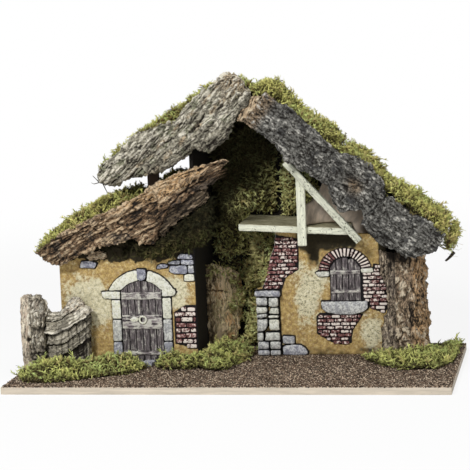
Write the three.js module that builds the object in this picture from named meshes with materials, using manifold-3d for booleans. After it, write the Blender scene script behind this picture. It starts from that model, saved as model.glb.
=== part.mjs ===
// Nativity stable: a lean-to annex with a door, an open cave under a loft, and bark roofs with moss.
// Millimetres, +Z up, +X to the viewer's right, front of the stable towards -Y.
// The origin is the middle of the base board's underside.

import * as THREE from 'three';
import { mergeVertices } from 'three/addons/utils/BufferGeometryUtils.js';
import Module from 'manifold-3d';

const wasm = await Module();
wasm.setup();

// Base board and the glued grit that covers it
const BASE_WIDTH = 500;
const BASE_DEPTH = 240;
const BASE_THICK = 8;
const GRIT_THICK = 1.2;
const GRIT_MARGIN = 1.5;
const GROUND = BASE_THICK + GRIT_THICK;

// Fits between neighbours
const FIT = 0.3;
const SLAB_JOINT = 0.5;

// Walls: X of the faces, seen from the front
const PANEL_THICK = 6;
const BOARD_THICK = 4;
const ANNEX_LEFT = -209;
const ANNEX_RIGHT = -49;
const CAVE_RIGHT = 200;
const ANNEX_FRONT = 0;
const CAVE_FRONT = 50;
const CAVE_FRONT_THICK = 7;
const FACADE_RIGHT = 166;
const BACK_INSET = 2;
const BACK_FACE = BASE_DEPTH / 2 - BACK_INSET;
const BACK_INSIDE = BACK_FACE - BOARD_THICK;
const CAVE_WALL_LEFT = ANNEX_RIGHT - BOARD_THICK;
const SIDE_WALL_SETBACK = 12;

// Roofs: top surfaces as a high end, a fall and a length along the slope
const RIDGE_X = 12;
const RIDGE_HEIGHT = 313;
const MAIN_LEFT_FALL = THREE.MathUtils.degToRad(28.5);
const MAIN_LEFT_LENGTH = 184;
const MAIN_RIGHT_FALL = THREE.MathUtils.degToRad(37.3);
const MAIN_RIGHT_LENGTH = 281;
const ANNEX_ROOF_HEIGHT = 215;
const ANNEX_ROOF_FALL = THREE.MathUtils.degToRad(26.4);
const ANNEX_ROOF_LENGTH = 190;
const ROOF_BACK = BACK_FACE + 1;

// Depths of the bark fronts: back of each slab and its middle thickness
const ANNEX_BARK_BACK = -6;
const ANNEX_BARK_THICK = 17;
const ROOF_BARK_BACK = 14;
const GREY_BARK_THICK = 16;
const DARK_BARK_THICK = 15;

// Prop that holds the main roof's overhang above the annex roof
const PROP_OFFSET = 52;
const PROP_WIDTH = 12;
const PROP_FRONT = 24;
const PROP_DEPTH = 10;

// Loft: a sloping floor board with a post and a slanting rafter in front
const LOFT_LEFT = -2;
const LOFT_RIGHT = 125;
const LOFT_FRONT = 30;
const LOFT_HEIGHT = 149.5;
const LOFT_THICK = 8.2;
const LOFT_TILT = THREE.MathUtils.degToRad(3.1);
const POST_X = 72.5;
const POST_WIDTH = 10.6;
const POST_THICK = 6;
const POST_DROP = 22;
const POST_RISE = 58;
const RAFTER_WIDTH = 8.4;
const RAFTER_THICK = 6;
const RAFTER_LENGTH = 124;
const RAFTER_FALL = THREE.MathUtils.degToRad(48.3);
const RAFTER_BELOW_CROSSING = 100;

// Door and window moulded into the two front panels
const DOOR_X = -112.7;
const DOOR_WIDTH = 48.6;
const DOOR_SPRING = 85.5;
const DOOR_ARCH_CENTRE = 67.3;
const DOOR_ARCH_INNER = 30.7;
const DOOR_ARCH_OUTER = 43.2;
const DOOR_JAMB = 10.4;
const WINDOW_X = 117.8;
const WINDOW_WIDTH = 35.6;
const WINDOW_SILL = 64;
const WINDOW_SPRING = 99;
const WINDOW_ARCH_OUTER = 30.5;
const WINDOW_ARCH_BRICKS = 19;
const WINDOW_ARCH_SQUASH = 0.86;
const STONE_RELIEF = 3;
const PLANK_RELIEF = 1.2;
const BATTEN_RELIEF = 2.2;
const BRICK_RELIEF = 1.6;
const BRICK_JOINT = 1;
const ANNEX_BRICK = { height: 5.1, length: 11 };
const CAVE_BRICK = { height: 3.4, length: 9 };
const RING_RADIUS = 4;
const RING_WIRE = 1.1;

// Pier of stacked stones at the left end of the cave's front panel
const PIER_WIDTH = 29;
const PIER_RELIEF = 7;
const PIER_HEIGHT = 71;
const PIER_CAP = 6.5;
const PIER_LEFT = 12;

// Bark pieces on the ground
const TRUNK_HEIGHT = 122;
const TRUNK_FRONT = 36;
const FENCE_BACK = -12;
const STUMP_WIDTH = 27;
const STUMP_THICK = 22;
const PLATE_WIDTH = 50;
const PLATE_THICK = 13;
const BARK_ROUGH = 3;
const CORNER_BARK_Y = 66;
const CORNER_BARK_THICK = 6;

// Moss: seed of its lumps and the height of the ground heaps
const MOSS_SEED = 11;
const MOSS_PEAK = 19;

// Reach of a cutting tool, beyond the part on every side
const FAR = 900;

// Smooth repeatable unevenness between -1 and 1 for a point in space
function hash(i, j, k) {
  const value = Math.sin(i * 127.1 + j * 311.7 + k * 74.7 + MOSS_SEED) * 43758.5453;
  return 2 * (value - Math.floor(value)) - 1;
}

function unevenness(x, y, z) {
  const corner = [Math.floor(x), Math.floor(y), Math.floor(z)];
  const part = [x - corner[0], y - corner[1], z - corner[2]];
  const blend = part.map((t) => t * t * (3 - 2 * t));
  let sum = 0;
  for (let n = 0; n < 8; n += 1) {
    const step = [n & 1, (n >> 1) & 1, (n >> 2) & 1];
    const weights = step.map((s, axis) => (s ? blend[axis] : 1 - blend[axis]));
    const share = weights[0] * weights[1] * weights[2];
    sum += share * hash(corner[0] + step[0], corner[1] + step[1], corner[2] + step[2]);
  }
  return sum;
}

// Solids and joins
function solid(geometry) {
  const bare = geometry.index ? geometry.toNonIndexed() : geometry.clone();
  bare.deleteAttribute('normal');
  bare.deleteAttribute('uv');
  const merged = mergeVertices(bare, 1e-4);
  return new wasm.Manifold(new wasm.Mesh({
    numProp: 3,
    vertProperties: new Float32Array(merged.attributes.position.array),
    triVerts: new Uint32Array(merged.index.array),
  }));
}

function join(solids) {
  return solids.reduce((whole, next) => whole.add(next));
}

function geometryOf(body) {
  const mesh = body.getMesh();
  const geometry = new THREE.BufferGeometry();
  geometry.setAttribute('position', new THREE.BufferAttribute(mesh.vertProperties, 3));
  geometry.setIndex(new THREE.BufferAttribute(mesh.triVerts, 1));
  geometry.computeVertexNormals();
  return geometry;
}

const shapeOf = (points) => new THREE.Shape(points.map(([a, b]) => new THREE.Vector2(a, b)));

// An outline drawn in the front view, extruded from one Y to another
function frontPrism(points, front, back, bevel = 0) {
  const geometry = new THREE.ExtrudeGeometry(shapeOf(points), {
    depth: back - front - bevel,
    bevelEnabled: bevel > 0,
    bevelThickness: bevel,
    bevelSize: bevel,
    bevelOffset: -bevel,
    bevelSegments: 1,
  });
  geometry.rotateX(Math.PI / 2);
  geometry.translate(0, back, 0);
  return geometry;
}

// An outline drawn in the ground plan, extruded upwards in level steps
function planPrism(points, bottom, top, steps = 1) {
  const options = { depth: top - bottom, steps, bevelEnabled: false };
  const geometry = new THREE.ExtrudeGeometry(shapeOf(points), options);
  geometry.translate(0, 0, bottom);
  return geometry;
}

function block(low, high) {
  const size = high.map((value, axis) => value - low[axis]);
  const geometry = new THREE.BoxGeometry(size[0], size[1], size[2]);
  geometry.translate(...low.map((value, axis) => value + size[axis] / 2));
  return geometry;
}

function moveVertices(geometry, rule) {
  const position = geometry.attributes.position;
  const point = new THREE.Vector3();
  for (let i = 0; i < position.count; i += 1) {
    point.fromBufferAttribute(position, i);
    rule(point);
    position.setXYZ(i, point.x, point.y, point.z);
  }
  return geometry;
}

// A roof's top surface: along runs down the slope from its high end, out stands square to it
function roofSurface(x, z, fall, side) {
  const down = [side * Math.cos(fall), -Math.sin(fall)];
  const normal = [side * Math.sin(fall), Math.cos(fall)];
  return {
    at: (along, out) => [x + along * down[0] + out * normal[0], z + along * down[1] + out * normal[1]],
    topAt: (px) => z - Math.abs(px - x) * Math.tan(fall),
    underAt: (px) => z - Math.abs(px - x) * Math.tan(fall) - BOARD_THICK / Math.cos(fall) - FIT,
    fall,
    side,
  };
}

const RIDGE_Z = GROUND + RIDGE_HEIGHT;
const mainLeft = roofSurface(RIDGE_X, RIDGE_Z, MAIN_LEFT_FALL, -1);
const mainRight = roofSurface(RIDGE_X, RIDGE_Z, MAIN_RIGHT_FALL, 1);
const annexRoof = roofSurface(CAVE_WALL_LEFT - FIT, GROUND + ANNEX_ROOF_HEIGHT, ANNEX_ROOF_FALL, -1);

// A roof board has a plumb high end, so that two boards can meet at the ridge
function roofBoard(roof, length, front) {
  const [highX, highZ] = roof.at(0, 0);
  const plumb = BOARD_THICK / Math.cos(roof.fall);
  const start = highX + roof.side * FIT / 2;
  const drop = Math.tan(roof.fall) * FIT / 2;
  const outline = [
    [start, highZ - drop],
    [start, highZ - drop - plumb],
    roof.at(length, -BOARD_THICK),
    roof.at(length, 0),
  ];
  return frontPrism(outline, front, ROOF_BACK);
}

// Bark slab: an outline in the front view with a rugged front face and a flat or bent back
function barkSlab(outline, { back, thick, cell = 11, bow = 4, rough = 2.5, grain = 0 }) {
  const backAt = typeof back === 'function' ? back : () => back;
  const xs = outline.map((p) => p[0]);
  const zs = outline.map((p) => p[1]);
  const low = [Math.min(...xs) - 1, Math.min(...zs) - 1];
  const size = [Math.max(...xs) + 1 - low[0], Math.max(...zs) + 1 - low[1]];
  const cells = size.map((length) => Math.max(2, Math.round(length / cell)));
  const rugged = new THREE.BoxGeometry(size[0], 2, size[1], cells[0], 1, cells[1]);
  rugged.translate(low[0] + size[0] / 2, 0, low[1] + size[1] / 2);
  moveVertices(rugged, (p) => {
    const along = p.x * Math.cos(grain) + p.z * Math.sin(grain);
    const across = p.z * Math.cos(grain) - p.x * Math.sin(grain);
    const lump = unevenness(along / 34, across / 13, 3) + 0.5 * unevenness(along / 12, across / 8, 9);
    const edge = Math.abs((p.z - low[1]) / size[1] - 0.5) * 2;
    const front = backAt(p.x, p.z) - thick + bow * edge * edge - rough * lump;
    p.y = p.y > 0 ? backAt(p.x, p.z) : front;
  });
  const ys = Array.from(rugged.attributes.position.array.filter((value, i) => i % 3 === 1));
  const prism = frontPrism(outline, Math.min(...ys) - 5, Math.max(...ys) + 5);
  return solid(rugged).intersect(solid(prism));
}

// How far a point lies inside an outline, and zero outside it
function edgeDistance(outline, a, b) {
  let nearest = Infinity;
  let inside = false;
  outline.forEach(([a0, b0], i) => {
    const [a1, b1] = outline[(i + 1) % outline.length];
    const run = [a1 - a0, b1 - b0];
    const share = ((a - a0) * run[0] + (b - b0) * run[1]) / (run[0] ** 2 + run[1] ** 2);
    const t = THREE.MathUtils.clamp(share, 0, 1);
    nearest = Math.min(nearest, Math.hypot(a - a0 - t * run[0], b - b0 - t * run[1]));
    if ((b0 > b) !== (b1 > b) && a < a0 + ((b - b0) / run[1]) * run[0]) {
      inside = !inside;
    }
  });
  return inside ? nearest : 0;
}

// Moss pad: a lumpy cushion over an outline, thin at its rim and turned into place by a rule
function mossPad(outline, peak, turn, { cell = 11, shoulder = 15, rim = 4, lumps = 0.35 } = {}) {
  const as = outline.map((p) => p[0]);
  const bs = outline.map((p) => p[1]);
  const low = [Math.min(...as) - 1, Math.min(...bs) - 1];
  const size = [Math.max(...as) + 1 - low[0], Math.max(...bs) + 1 - low[1]];
  const cells = size.map((length) => Math.max(2, Math.round(length / cell)));
  const pad = new THREE.BoxGeometry(size[0], size[1], 2, cells[0], cells[1], 1);
  pad.translate(low[0] + size[0] / 2, low[1] + size[1] / 2, 0);
  moveVertices(pad, (p) => {
    const rise = THREE.MathUtils.smoothstep(edgeDistance(outline, p.x, p.y), 0, shoulder);
    const lump = 1 + lumps * unevenness(p.x / 12, p.y / 12, peak);
    p.z = p.z > 0 ? rim + (peak - rim) * rise * lump : 0;
  });
  const edge = planPrism(outline, -1, 2 * peak);
  return solid(turn(pad)).intersect(solid(turn(edge)));
}

const onGround = (geometry) => geometry.translate(0, 0, GROUND);
const onWall = (y) => (geometry) => geometry.rotateX(Math.PI / 2).translate(0, y, 0);

// Moss blanket: lies on a roof's top surface between two lengths and two depths
function mossBlanket(roof, from, to, front, back, heights, plumbStart = false) {
  const cell = 15;
  const length = to - from;
  const width = back - front;
  const counts = [Math.round(length / cell), Math.max(2, Math.round(width / cell))];
  const blanket = new THREE.BoxGeometry(length, width, 1, counts[0], counts[1], 1);
  blanket.translate(from + length / 2, front + width / 2, 0);
  const heightAt = (along) => {
    const place = ((along - from) / length) * (heights.length - 1);
    const index = Math.min(heights.length - 2, Math.max(0, Math.floor(place)));
    return THREE.MathUtils.lerp(heights[index], heights[index + 1], place - index);
  };
  moveVertices(blanket, (p) => {
    const fromStart = plumbStart ? cell : p.x - from;
    const rim = Math.min(fromStart, to - p.x, p.y - front, back - p.y) / cell;
    const taper = 0.55 + 0.45 * THREE.MathUtils.clamp(rim, 0, 1);
    const height = heightAt(p.x) * taper + 3 * unevenness(p.x / 17, p.y / 17, from / 50);
    const out = p.z > 0 ? Math.max(3, height) : FIT;
    const lean = plumbStart ? THREE.MathUtils.clamp((p.x - from) / cell, 0, 1) : 1;
    const [x, z] = roof.at(p.x, out);
    const [plumbX, plumbZ] = roof.at(p.x + out * Math.tan(roof.fall), out);
    p.set(THREE.MathUtils.lerp(plumbX, x, lean), p.y, THREE.MathUtils.lerp(plumbZ, z, lean));
  });
  if (roof.side < 0) {
    turnInsideOut(blanket);
  }
  return blanket;
}

function turnInsideOut(geometry) {
  const index = geometry.index;
  for (let i = 0; i < index.count; i += 3) {
    const first = index.getX(i);
    index.setX(i, index.getX(i + 1));
    index.setX(i + 1, first);
  }
}

// Relief on a front panel
function stone(x0, z0, x1, z1, face, relief, bevel = 0.9) {
  const outline = [[x0, z0], [x1, z0], [x1, z1], [x0, z1]];
  return solid(frontPrism(outline, face - relief, face + 1, bevel));
}

function shapedStone(outline, face, relief, bevel = 0.9) {
  return solid(frontPrism(outline, face - relief, face + 1, bevel));
}

// An arch stone between two radii, with its own pair of end angles on the outer and on the inner rim.
// A squash below 1 makes the arch lower than a half circle.
function archStone(centre, [outer, outFrom, outTo], [inner, inFrom, inTo], face, relief, bevel, squash = 1) {
  const steps = Math.max(2, Math.ceil((outTo - outFrom) / 0.25));
  const rim = (radius, from, to) => Array.from({ length: steps }, (none, i) => {
    const angle = from + ((to - from) * i) / (steps - 1);
    return [centre[0] + radius * Math.cos(angle), centre[1] + squash * radius * Math.sin(angle)];
  });
  const outline = [...rim(outer, outFrom, outTo), ...rim(inner, inFrom, inTo).reverse()];
  return shapedStone(outline, face, relief, bevel);
}

// Left and right end of a level line through a convex patch outline
function spanAt(patch, z) {
  const hits = [];
  patch.forEach(([x0, z0], i) => {
    const [x1, z1] = patch[(i + 1) % patch.length];
    if ((z0 - z) * (z1 - z) < 0) {
      hits.push(x0 + ((z - z0) / (z1 - z0)) * (x1 - x0));
    }
  });
  return [Math.min(...hits), Math.max(...hits)];
}

// Brick courses that fill a patch outline, with staggered joints
function brickCourses(patch, face, brick) {
  const bottom = Math.min(...patch.map((p) => p[1]));
  const top = Math.max(...patch.map((p) => p[1]));
  const bricks = [];
  const pitch = brick.height + BRICK_JOINT;
  for (let z = bottom + 1; z + brick.height < top; z += pitch) {
    const [left, right] = spanAt(patch, z + brick.height / 2);
    const course = Math.round((z - bottom) / pitch);
    let x = left + 1 + 0.8 * hash(course, 2, 5);
    let length = course % 2 ? brick.length / 2 : brick.length;
    while (x + 2.5 < right) {
      const end = Math.min(x + length, right - 0.5);
      bricks.push(stone(x, z, end, z + brick.height, face, BRICK_RELIEF, 0));
      x = end + BRICK_JOINT;
      length = brick.length * (1 + 0.2 * hash(course, bricks.length, 7));
    }
  }
  return bricks;
}

function mirroredArch(x, spring, radius, bottom, squash) {
  const points = 9;
  const outline = [[x - radius, bottom], [x + radius, bottom]];
  for (let i = 0; i < points; i += 1) {
    const angle = (Math.PI * i) / (points - 1);
    outline.push([x + radius * Math.cos(angle), spring + squash * radius * Math.sin(angle)]);
  }
  return outline;
}

// Door leaf of upright planks with two battens and a pull ring
function doorLeaf(face) {
  const left = DOOR_X - DOOR_WIDTH / 2;
  const planks = 6;
  const plankWidth = DOOR_WIDTH / planks;
  const archZ = GROUND + DOOR_ARCH_CENTRE;
  const pieces = [];
  for (let i = 0; i < planks; i += 1) {
    const x0 = left + i * plankWidth;
    const middle = x0 + plankWidth / 2 - DOOR_X;
    const top = archZ + Math.sqrt(DOOR_ARCH_INNER ** 2 - middle ** 2) - 0.6;
    pieces.push(stone(x0 + 0.4, GROUND + 1, x0 + plankWidth - 0.4, top, face, PLANK_RELIEF, 0.5));
  }
  const batten = (z0, z1) => stone(left + 1, z0, left + DOOR_WIDTH - 1, z1, face, BATTEN_RELIEF, 0.7);
  pieces.push(batten(GROUND + 75.5, GROUND + 83));
  pieces.push(batten(GROUND + 41.5, GROUND + 57));
  const ring = new THREE.TorusGeometry(RING_RADIUS, RING_WIRE, 6, 14);
  ring.rotateX(Math.PI / 2);
  ring.translate(DOOR_X + 0.7, face - BATTEN_RELIEF - 0.4, GROUND + 52);
  pieces.push(solid(ring));
  return pieces;
}

// Stones round the door: arch, keystone, imposts and jambs
function doorSurround(face) {
  const centre = [DOOR_X, GROUND + DOOR_ARCH_CENTRE];
  const spring = GROUND + DOOR_SPRING;
  const half = DOOR_WIDTH / 2;
  const keystone = 0.13;
  const joint = 0.025;
  const foot = (radius) => Math.asin((DOOR_SPRING + 2 - DOOR_ARCH_CENTRE) / radius);
  const upright = Math.PI / 2 - 0.06;
  const arch = (outer, fromAt, toAt) => {
    const outside = [outer, fromAt(outer), toAt(outer)];
    const inside = [DOOR_ARCH_INNER, fromAt(DOOR_ARCH_INNER), toAt(DOOR_ARCH_INNER)];
    return archStone(centre, outside, inside, face, STONE_RELIEF, 0.9);
  };
  const pieces = [
    arch(DOOR_ARCH_OUTER, foot, () => upright - keystone - joint),
    arch(DOOR_ARCH_OUTER, () => upright + keystone + joint, (radius) => Math.PI - foot(radius)),
    arch(DOOR_ARCH_OUTER + 1.5, () => upright - keystone, () => upright + keystone),
    stone(DOOR_X - half - 22, spring - 10, DOOR_X - half - 0.4, spring - 1, face, STONE_RELIEF),
    stone(DOOR_X + half + 0.4, spring - 7, DOOR_X + half + 18, spring + 1.5, face, STONE_RELIEF),
  ];
  const joints = [1, 26, 53, 74];
  for (let i = 0; i + 1 < joints.length; i += 1) {
    const z0 = GROUND + joints[i] + 0.4;
    const z1 = GROUND + joints[i + 1] - 0.4;
    pieces.push(stone(DOOR_X - half - DOOR_JAMB, z0, DOOR_X - half - 0.4, z1, face, STONE_RELIEF));
    pieces.push(stone(DOOR_X + half + 0.4, z0, DOOR_X + half + DOOR_JAMB, z1, face, STONE_RELIEF));
  }
  return pieces;
}

// Corner stones and the brick patch at the annex's right edge, placed from that edge
function annexCorner(face) {
  const edge = ANNEX_RIGHT - 0.3;
  const quoins = [
    [0, 122, 19, 127], [0, 115.5, 39, 121], [31, 112, 46, 115], [9, 105, 29, 113.5],
    [0, 106, 8, 114.5], [0, 97, 12, 104.5],
  ];
  const stones = quoins.map(([inner, low, outer, high]) => (
    stone(edge - outer, GROUND + low, edge - inner, GROUND + high, face, STONE_RELIEF * 0.8)));
  const patch = [[25, 24], [0, 18], [0, 67], [13, 67], [26, 59]];
  const outline = patch.map(([inward, up]) => [edge - inward, GROUND + up]);
  return [...stones, ...brickCourses(outline, face, ANNEX_BRICK)];
}

// Annex front: one moulded plaster panel under the lean-to roof
function annexFacade() {
  const outline = [
    [ANNEX_LEFT, GROUND],
    [ANNEX_RIGHT, GROUND],
    [ANNEX_RIGHT, annexRoof.underAt(CAVE_WALL_LEFT)],
    [CAVE_WALL_LEFT, annexRoof.underAt(CAVE_WALL_LEFT)],
    [ANNEX_LEFT, annexRoof.underAt(ANNEX_LEFT)],
  ];
  const panel = solid(frontPrism(outline, ANNEX_FRONT, ANNEX_FRONT + PANEL_THICK));
  const flagstone = shapedStone([
    [ANNEX_LEFT + 25, GROUND + 114],
    [ANNEX_LEFT + 43, GROUND + 113],
    [ANNEX_LEFT + 46, GROUND + 119],
    [ANNEX_LEFT + 27, GROUND + 121],
  ], ANNEX_FRONT, STONE_RELIEF);
  const relief = [
    ...doorLeaf(ANNEX_FRONT),
    ...doorSurround(ANNEX_FRONT),
    ...annexCorner(ANNEX_FRONT),
    flagstone,
  ];
  return join([panel, ...relief]);
}

// Pier: two columns of stones on a raised core, under a cap stone
function pier(face) {
  const core = face - PIER_RELIEF + 1.5;
  const right = PIER_LEFT + PIER_WIDTH;
  const split = PIER_LEFT + PIER_WIDTH * 0.52;
  const pieces = [solid(block([PIER_LEFT + 0.5, core, GROUND], [right - 0.8, face + 1, GROUND + PIER_HEIGHT]))];
  const leftRows = [0, 9, 20, 28, 41, 50, 61, 63, 71];
  const rightRows = [0, 8, 17, 30, 36, 47, 52, 61, 71];
  [[leftRows, PIER_LEFT, split], [rightRows, split, right]].forEach(([rows, x0, x1]) => {
    for (let i = 0; i + 1 < rows.length; i += 1) {
      const low = GROUND + rows[i] + 0.4;
      const high = GROUND + rows[i + 1] - 0.4;
      pieces.push(stone(x0 + 0.4, low, x1 - 0.4, high, core, 1.5, 0.6));
    }
  });
  const capTop = GROUND + PIER_HEIGHT + PIER_CAP;
  pieces.push(stone(PIER_LEFT + 0.3, GROUND + PIER_HEIGHT + 0.4, right + 2, capTop, face, PIER_RELIEF + 1));
  pieces.push(stone(right + 0.6, GROUND + 14, right + 16, GROUND + 23, face, STONE_RELIEF));
  const heel = [[0.6, 0.5], [31, 0.5], [27, 9], [16, 13.2], [0.6, 13.2]];
  pieces.push(shapedStone(heel.map(([x, z]) => [right + x, GROUND + z]), face, STONE_RELIEF + 1));
  return pieces;
}

// Window: a planked shutter under a brick arch, with imposts and a sill stone
function windowRelief(face) {
  const spring = GROUND + WINDOW_SPRING;
  const half = WINDOW_WIDTH / 2;
  const bottom = GROUND + WINDOW_SILL;
  const arch = mirroredArch(WINDOW_X, spring, half - 0.6, bottom, WINDOW_ARCH_SQUASH);
  const leaf = shapedStone(arch, face, PLANK_RELIEF, 0.6);
  const planks = 5;
  const grooves = Array.from({ length: planks - 1 }, (none, i) => {
    const x = WINDOW_X - half + ((i + 1) * WINDOW_WIDTH) / planks;
    return solid(block([x - 0.4, face - FAR, bottom - 1], [x + 0.4, face - PLANK_RELIEF + 0.7, FAR]));
  });
  const pieces = [leaf.subtract(join(grooves))];
  [[bottom + 9, bottom + 12.5], [bottom + 31, bottom + 35]].forEach(([z0, z1]) => {
    pieces.push(stone(WINDOW_X - half + 1, z0, WINDOW_X + half - 1, z1, face, BATTEN_RELIEF, 0.6));
  });
  const turn = Math.PI / WINDOW_ARCH_BRICKS;
  for (let i = 0; i < WINDOW_ARCH_BRICKS; i += 1) {
    const ends = [i * turn + 0.02, (i + 1) * turn - 0.02];
    const inside = [half + 0.5, ...ends];
    const outside = [WINDOW_ARCH_OUTER, ...ends];
    const relief = BRICK_RELIEF + 0.8;
    pieces.push(archStone([WINDOW_X, spring], outside, inside, face, relief, 0.5, WINDOW_ARCH_SQUASH));
  }
  const left = WINDOW_X - half;
  const right = WINDOW_X + half;
  pieces.push(stone(left - 15, spring - 7.5, left - 0.5, spring - 0.5, face, STONE_RELIEF));
  pieces.push(stone(right + 0.5, spring - 5, right + 15, spring - 0.3, face, STONE_RELIEF));
  const sill = [[-28, -14], [8, -16.5], [25, -9.5], [25, -0.8], [-29, -0.8]];
  pieces.push(shapedStone(sill.map(([x, z]) => [WINDOW_X + x, bottom + z]), face, STONE_RELIEF + 1, 1.2));
  return pieces;
}

// Brick patches of the cave's front panel, given from the window's axis and the ground
function cavePatches() {
  const beside = [[19, 67], [25, 58], [46, 48], [48, 77], [41, 98], [34, 99.5], [19, 94]];
  const below = [[-35, 24], [-18, 13], [4, 15], [6, 29], [18, 47.5], [-36, 47.5]];
  const above = [[-98, 79], [-75, 78], [-72, 92], [-54, 101], [-53, 132], [-80, 140], [-84, 124], [-89, 113]];
  return [beside, below, above].map((patch) => patch.map(([x, z]) => [WINDOW_X + x, GROUND + z]));
}

const LOFT_BASE = GROUND + LOFT_HEIGHT;
const loftUnderAt = (x) => LOFT_BASE - (x - LOFT_LEFT) * Math.tan(LOFT_TILT);
const loftTopAt = (x) => loftUnderAt(x) + LOFT_THICK / Math.cos(LOFT_TILT);

// Cave front: one moulded plaster panel with a ragged brick edge, carrying the loft board
function caveFacade() {
  const face = CAVE_FRONT;
  const ragged = [[0, 78], [8, 80], [16, 96], [18, 115], [23, 126], [25, 139]];
  const outline = [
    [PIER_LEFT, GROUND],
    [FACADE_RIGHT, GROUND],
    [FACADE_RIGHT, loftUnderAt(FACADE_RIGHT) - FIT],
    [PIER_LEFT + 25, loftUnderAt(PIER_LEFT + 25) - FIT],
    ...ragged.reverse().map(([x, z]) => [PIER_LEFT + x, GROUND + z]),
  ];
  const panel = solid(frontPrism(outline, face, face + CAVE_FRONT_THICK));
  const bricks = cavePatches().flatMap((patch) => brickCourses(patch, face, CAVE_BRICK));
  return join([panel, ...pier(face), ...windowRelief(face), ...bricks]);
}

// Plain boards that close the sides and the back
function sideWall(left, right, front, topAt) {
  const outline = [[left, GROUND], [right, GROUND], [right, topAt(right)], [left, topAt(left)]];
  return frontPrism(outline, front, BACK_INSIDE - FIT);
}

function caveLeftWall() {
  const front = ANNEX_FRONT + PANEL_THICK + FIT;
  const wall = solid(sideWall(CAVE_WALL_LEFT, ANNEX_RIGHT, front, mainLeft.underAt));
  const notchFloor = annexRoof.underAt(CAVE_WALL_LEFT) - 2;
  const corner = [ANNEX_RIGHT + 1, ROOF_BARK_BACK + FIT, RIDGE_Z];
  const notch = block([CAVE_WALL_LEFT - 1, front - 1, notchFloor], corner);
  return wall.subtract(solid(notch));
}

function backPanel() {
  const outline = [
    [ANNEX_LEFT, GROUND],
    [CAVE_RIGHT, GROUND],
    [CAVE_RIGHT, mainRight.underAt(CAVE_RIGHT)],
    [RIDGE_X, Math.min(mainRight.underAt(RIDGE_X), mainLeft.underAt(RIDGE_X))],
    [CAVE_WALL_LEFT, mainLeft.underAt(CAVE_WALL_LEFT)],
    [CAVE_WALL_LEFT, annexRoof.underAt(CAVE_WALL_LEFT)],
    [ANNEX_LEFT, annexRoof.underAt(ANNEX_LEFT)],
  ];
  return frontPrism(outline, BACK_INSIDE, BACK_FACE);
}

// Roof prop: a block of wood that holds the main roof's overhang above the annex roof
function roofProp() {
  const left = CAVE_WALL_LEFT - PROP_OFFSET;
  const right = left + PROP_WIDTH;
  const outline = [
    [left, annexRoof.topAt(left) + FIT],
    [right, annexRoof.topAt(right) + FIT],
    [right, mainLeft.underAt(right)],
    [left, mainLeft.underAt(left)],
  ];
  return frontPrism(outline, PROP_FRONT, PROP_FRONT + PROP_DEPTH);
}

// Loft floor, post and rafter
function loftBoard() {
  const outline = [
    [LOFT_LEFT, loftUnderAt(LOFT_LEFT)],
    [LOFT_RIGHT, loftUnderAt(LOFT_RIGHT)],
    [LOFT_RIGHT, loftTopAt(LOFT_RIGHT)],
    [LOFT_LEFT, loftTopAt(LOFT_LEFT)],
  ];
  return frontPrism(outline, LOFT_FRONT, BACK_INSIDE - FIT);
}

const POST_BACK = LOFT_FRONT - FIT;
const POST_FRONT = POST_BACK - POST_THICK;
const RAFTER_BACK = POST_FRONT - FIT;
const RAFTER_CROSSING = [POST_X, loftTopAt(POST_X) + POST_RISE];

function loftPost() {
  const low = [POST_X - POST_WIDTH / 2, POST_FRONT, loftTopAt(POST_X) - POST_DROP];
  const high = [POST_X + POST_WIDTH / 2, POST_BACK, RAFTER_CROSSING[1]];
  return block(low, high);
}

function loftRafter() {
  const rafter = new THREE.BoxGeometry(RAFTER_LENGTH, RAFTER_THICK, RAFTER_WIDTH);
  rafter.translate(RAFTER_BELOW_CROSSING - RAFTER_LENGTH / 2, 0, 0);
  rafter.rotateY(RAFTER_FALL);
  rafter.translate(RAFTER_CROSSING[0], RAFTER_BACK - RAFTER_THICK / 2, RAFTER_CROSSING[1]);
  return rafter;
}

// Loft bark: a smooth curved sheet of inner bark that closes the loft behind the rafter
function loftBark() {
  const middle = new THREE.CatmullRomCurve3([
    [76, 37], [90, 56], [112, 69], [136, 74], [160, 73],
  ].map(([x, y]) => new THREE.Vector3(x, y, 0))).getPoints(10);
  const thick = 5;
  const sides = middle.map((p, i) => {
    const before = middle[Math.max(0, i - 1)];
    const after = middle[Math.min(middle.length - 1, i + 1)];
    const along = after.clone().sub(before).normalize();
    return [[p.x, p.y], [p.x - along.y * thick, p.y + along.x * thick]];
  });
  const plan = [...sides.map((side) => side[0]), ...sides.map((side) => side[1]).reverse()];
  const bottom = LOFT_BASE - 22;
  const sheet = solid(planPrism(plan, bottom, RIDGE_Z));
  const gap = LOFT_THICK + 2 * FIT;
  const slot = [
    [LOFT_LEFT, bottom - 1],
    [LOFT_RIGHT + FIT, bottom - 1],
    [LOFT_RIGHT + FIT, loftUnderAt(LOFT_RIGHT) + gap],
    [LOFT_LEFT, loftUnderAt(LOFT_LEFT) + gap],
  ];
  const above = [
    [70, loftTopAt(70) + 20],
    [86, loftTopAt(86) + 32],
    [96, loftTopAt(96) + 54],
    [118, mainRight.underAt(118)],
    [180, mainRight.underAt(180)],
    [180, FAR],
    [70, FAR],
  ];
  const panelEnd = [FACADE_RIGHT + FIT, CAVE_FRONT + CAVE_FRONT_THICK + FIT, loftUnderAt(FACADE_RIGHT)];
  const panel = block([LOFT_LEFT, 0, 0], panelEnd);
  return sheet
    .subtract(solid(frontPrism(slot, 0, BACK_FACE)))
    .subtract(solid(frontPrism(above, 0, BACK_FACE)))
    .subtract(solid(panel));
}

// Bark along the roof fronts, drawn down each slope: distance along, height square to it
const onRoof = (roof, points) => points.map(([along, out]) => roof.at(along, out));

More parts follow.
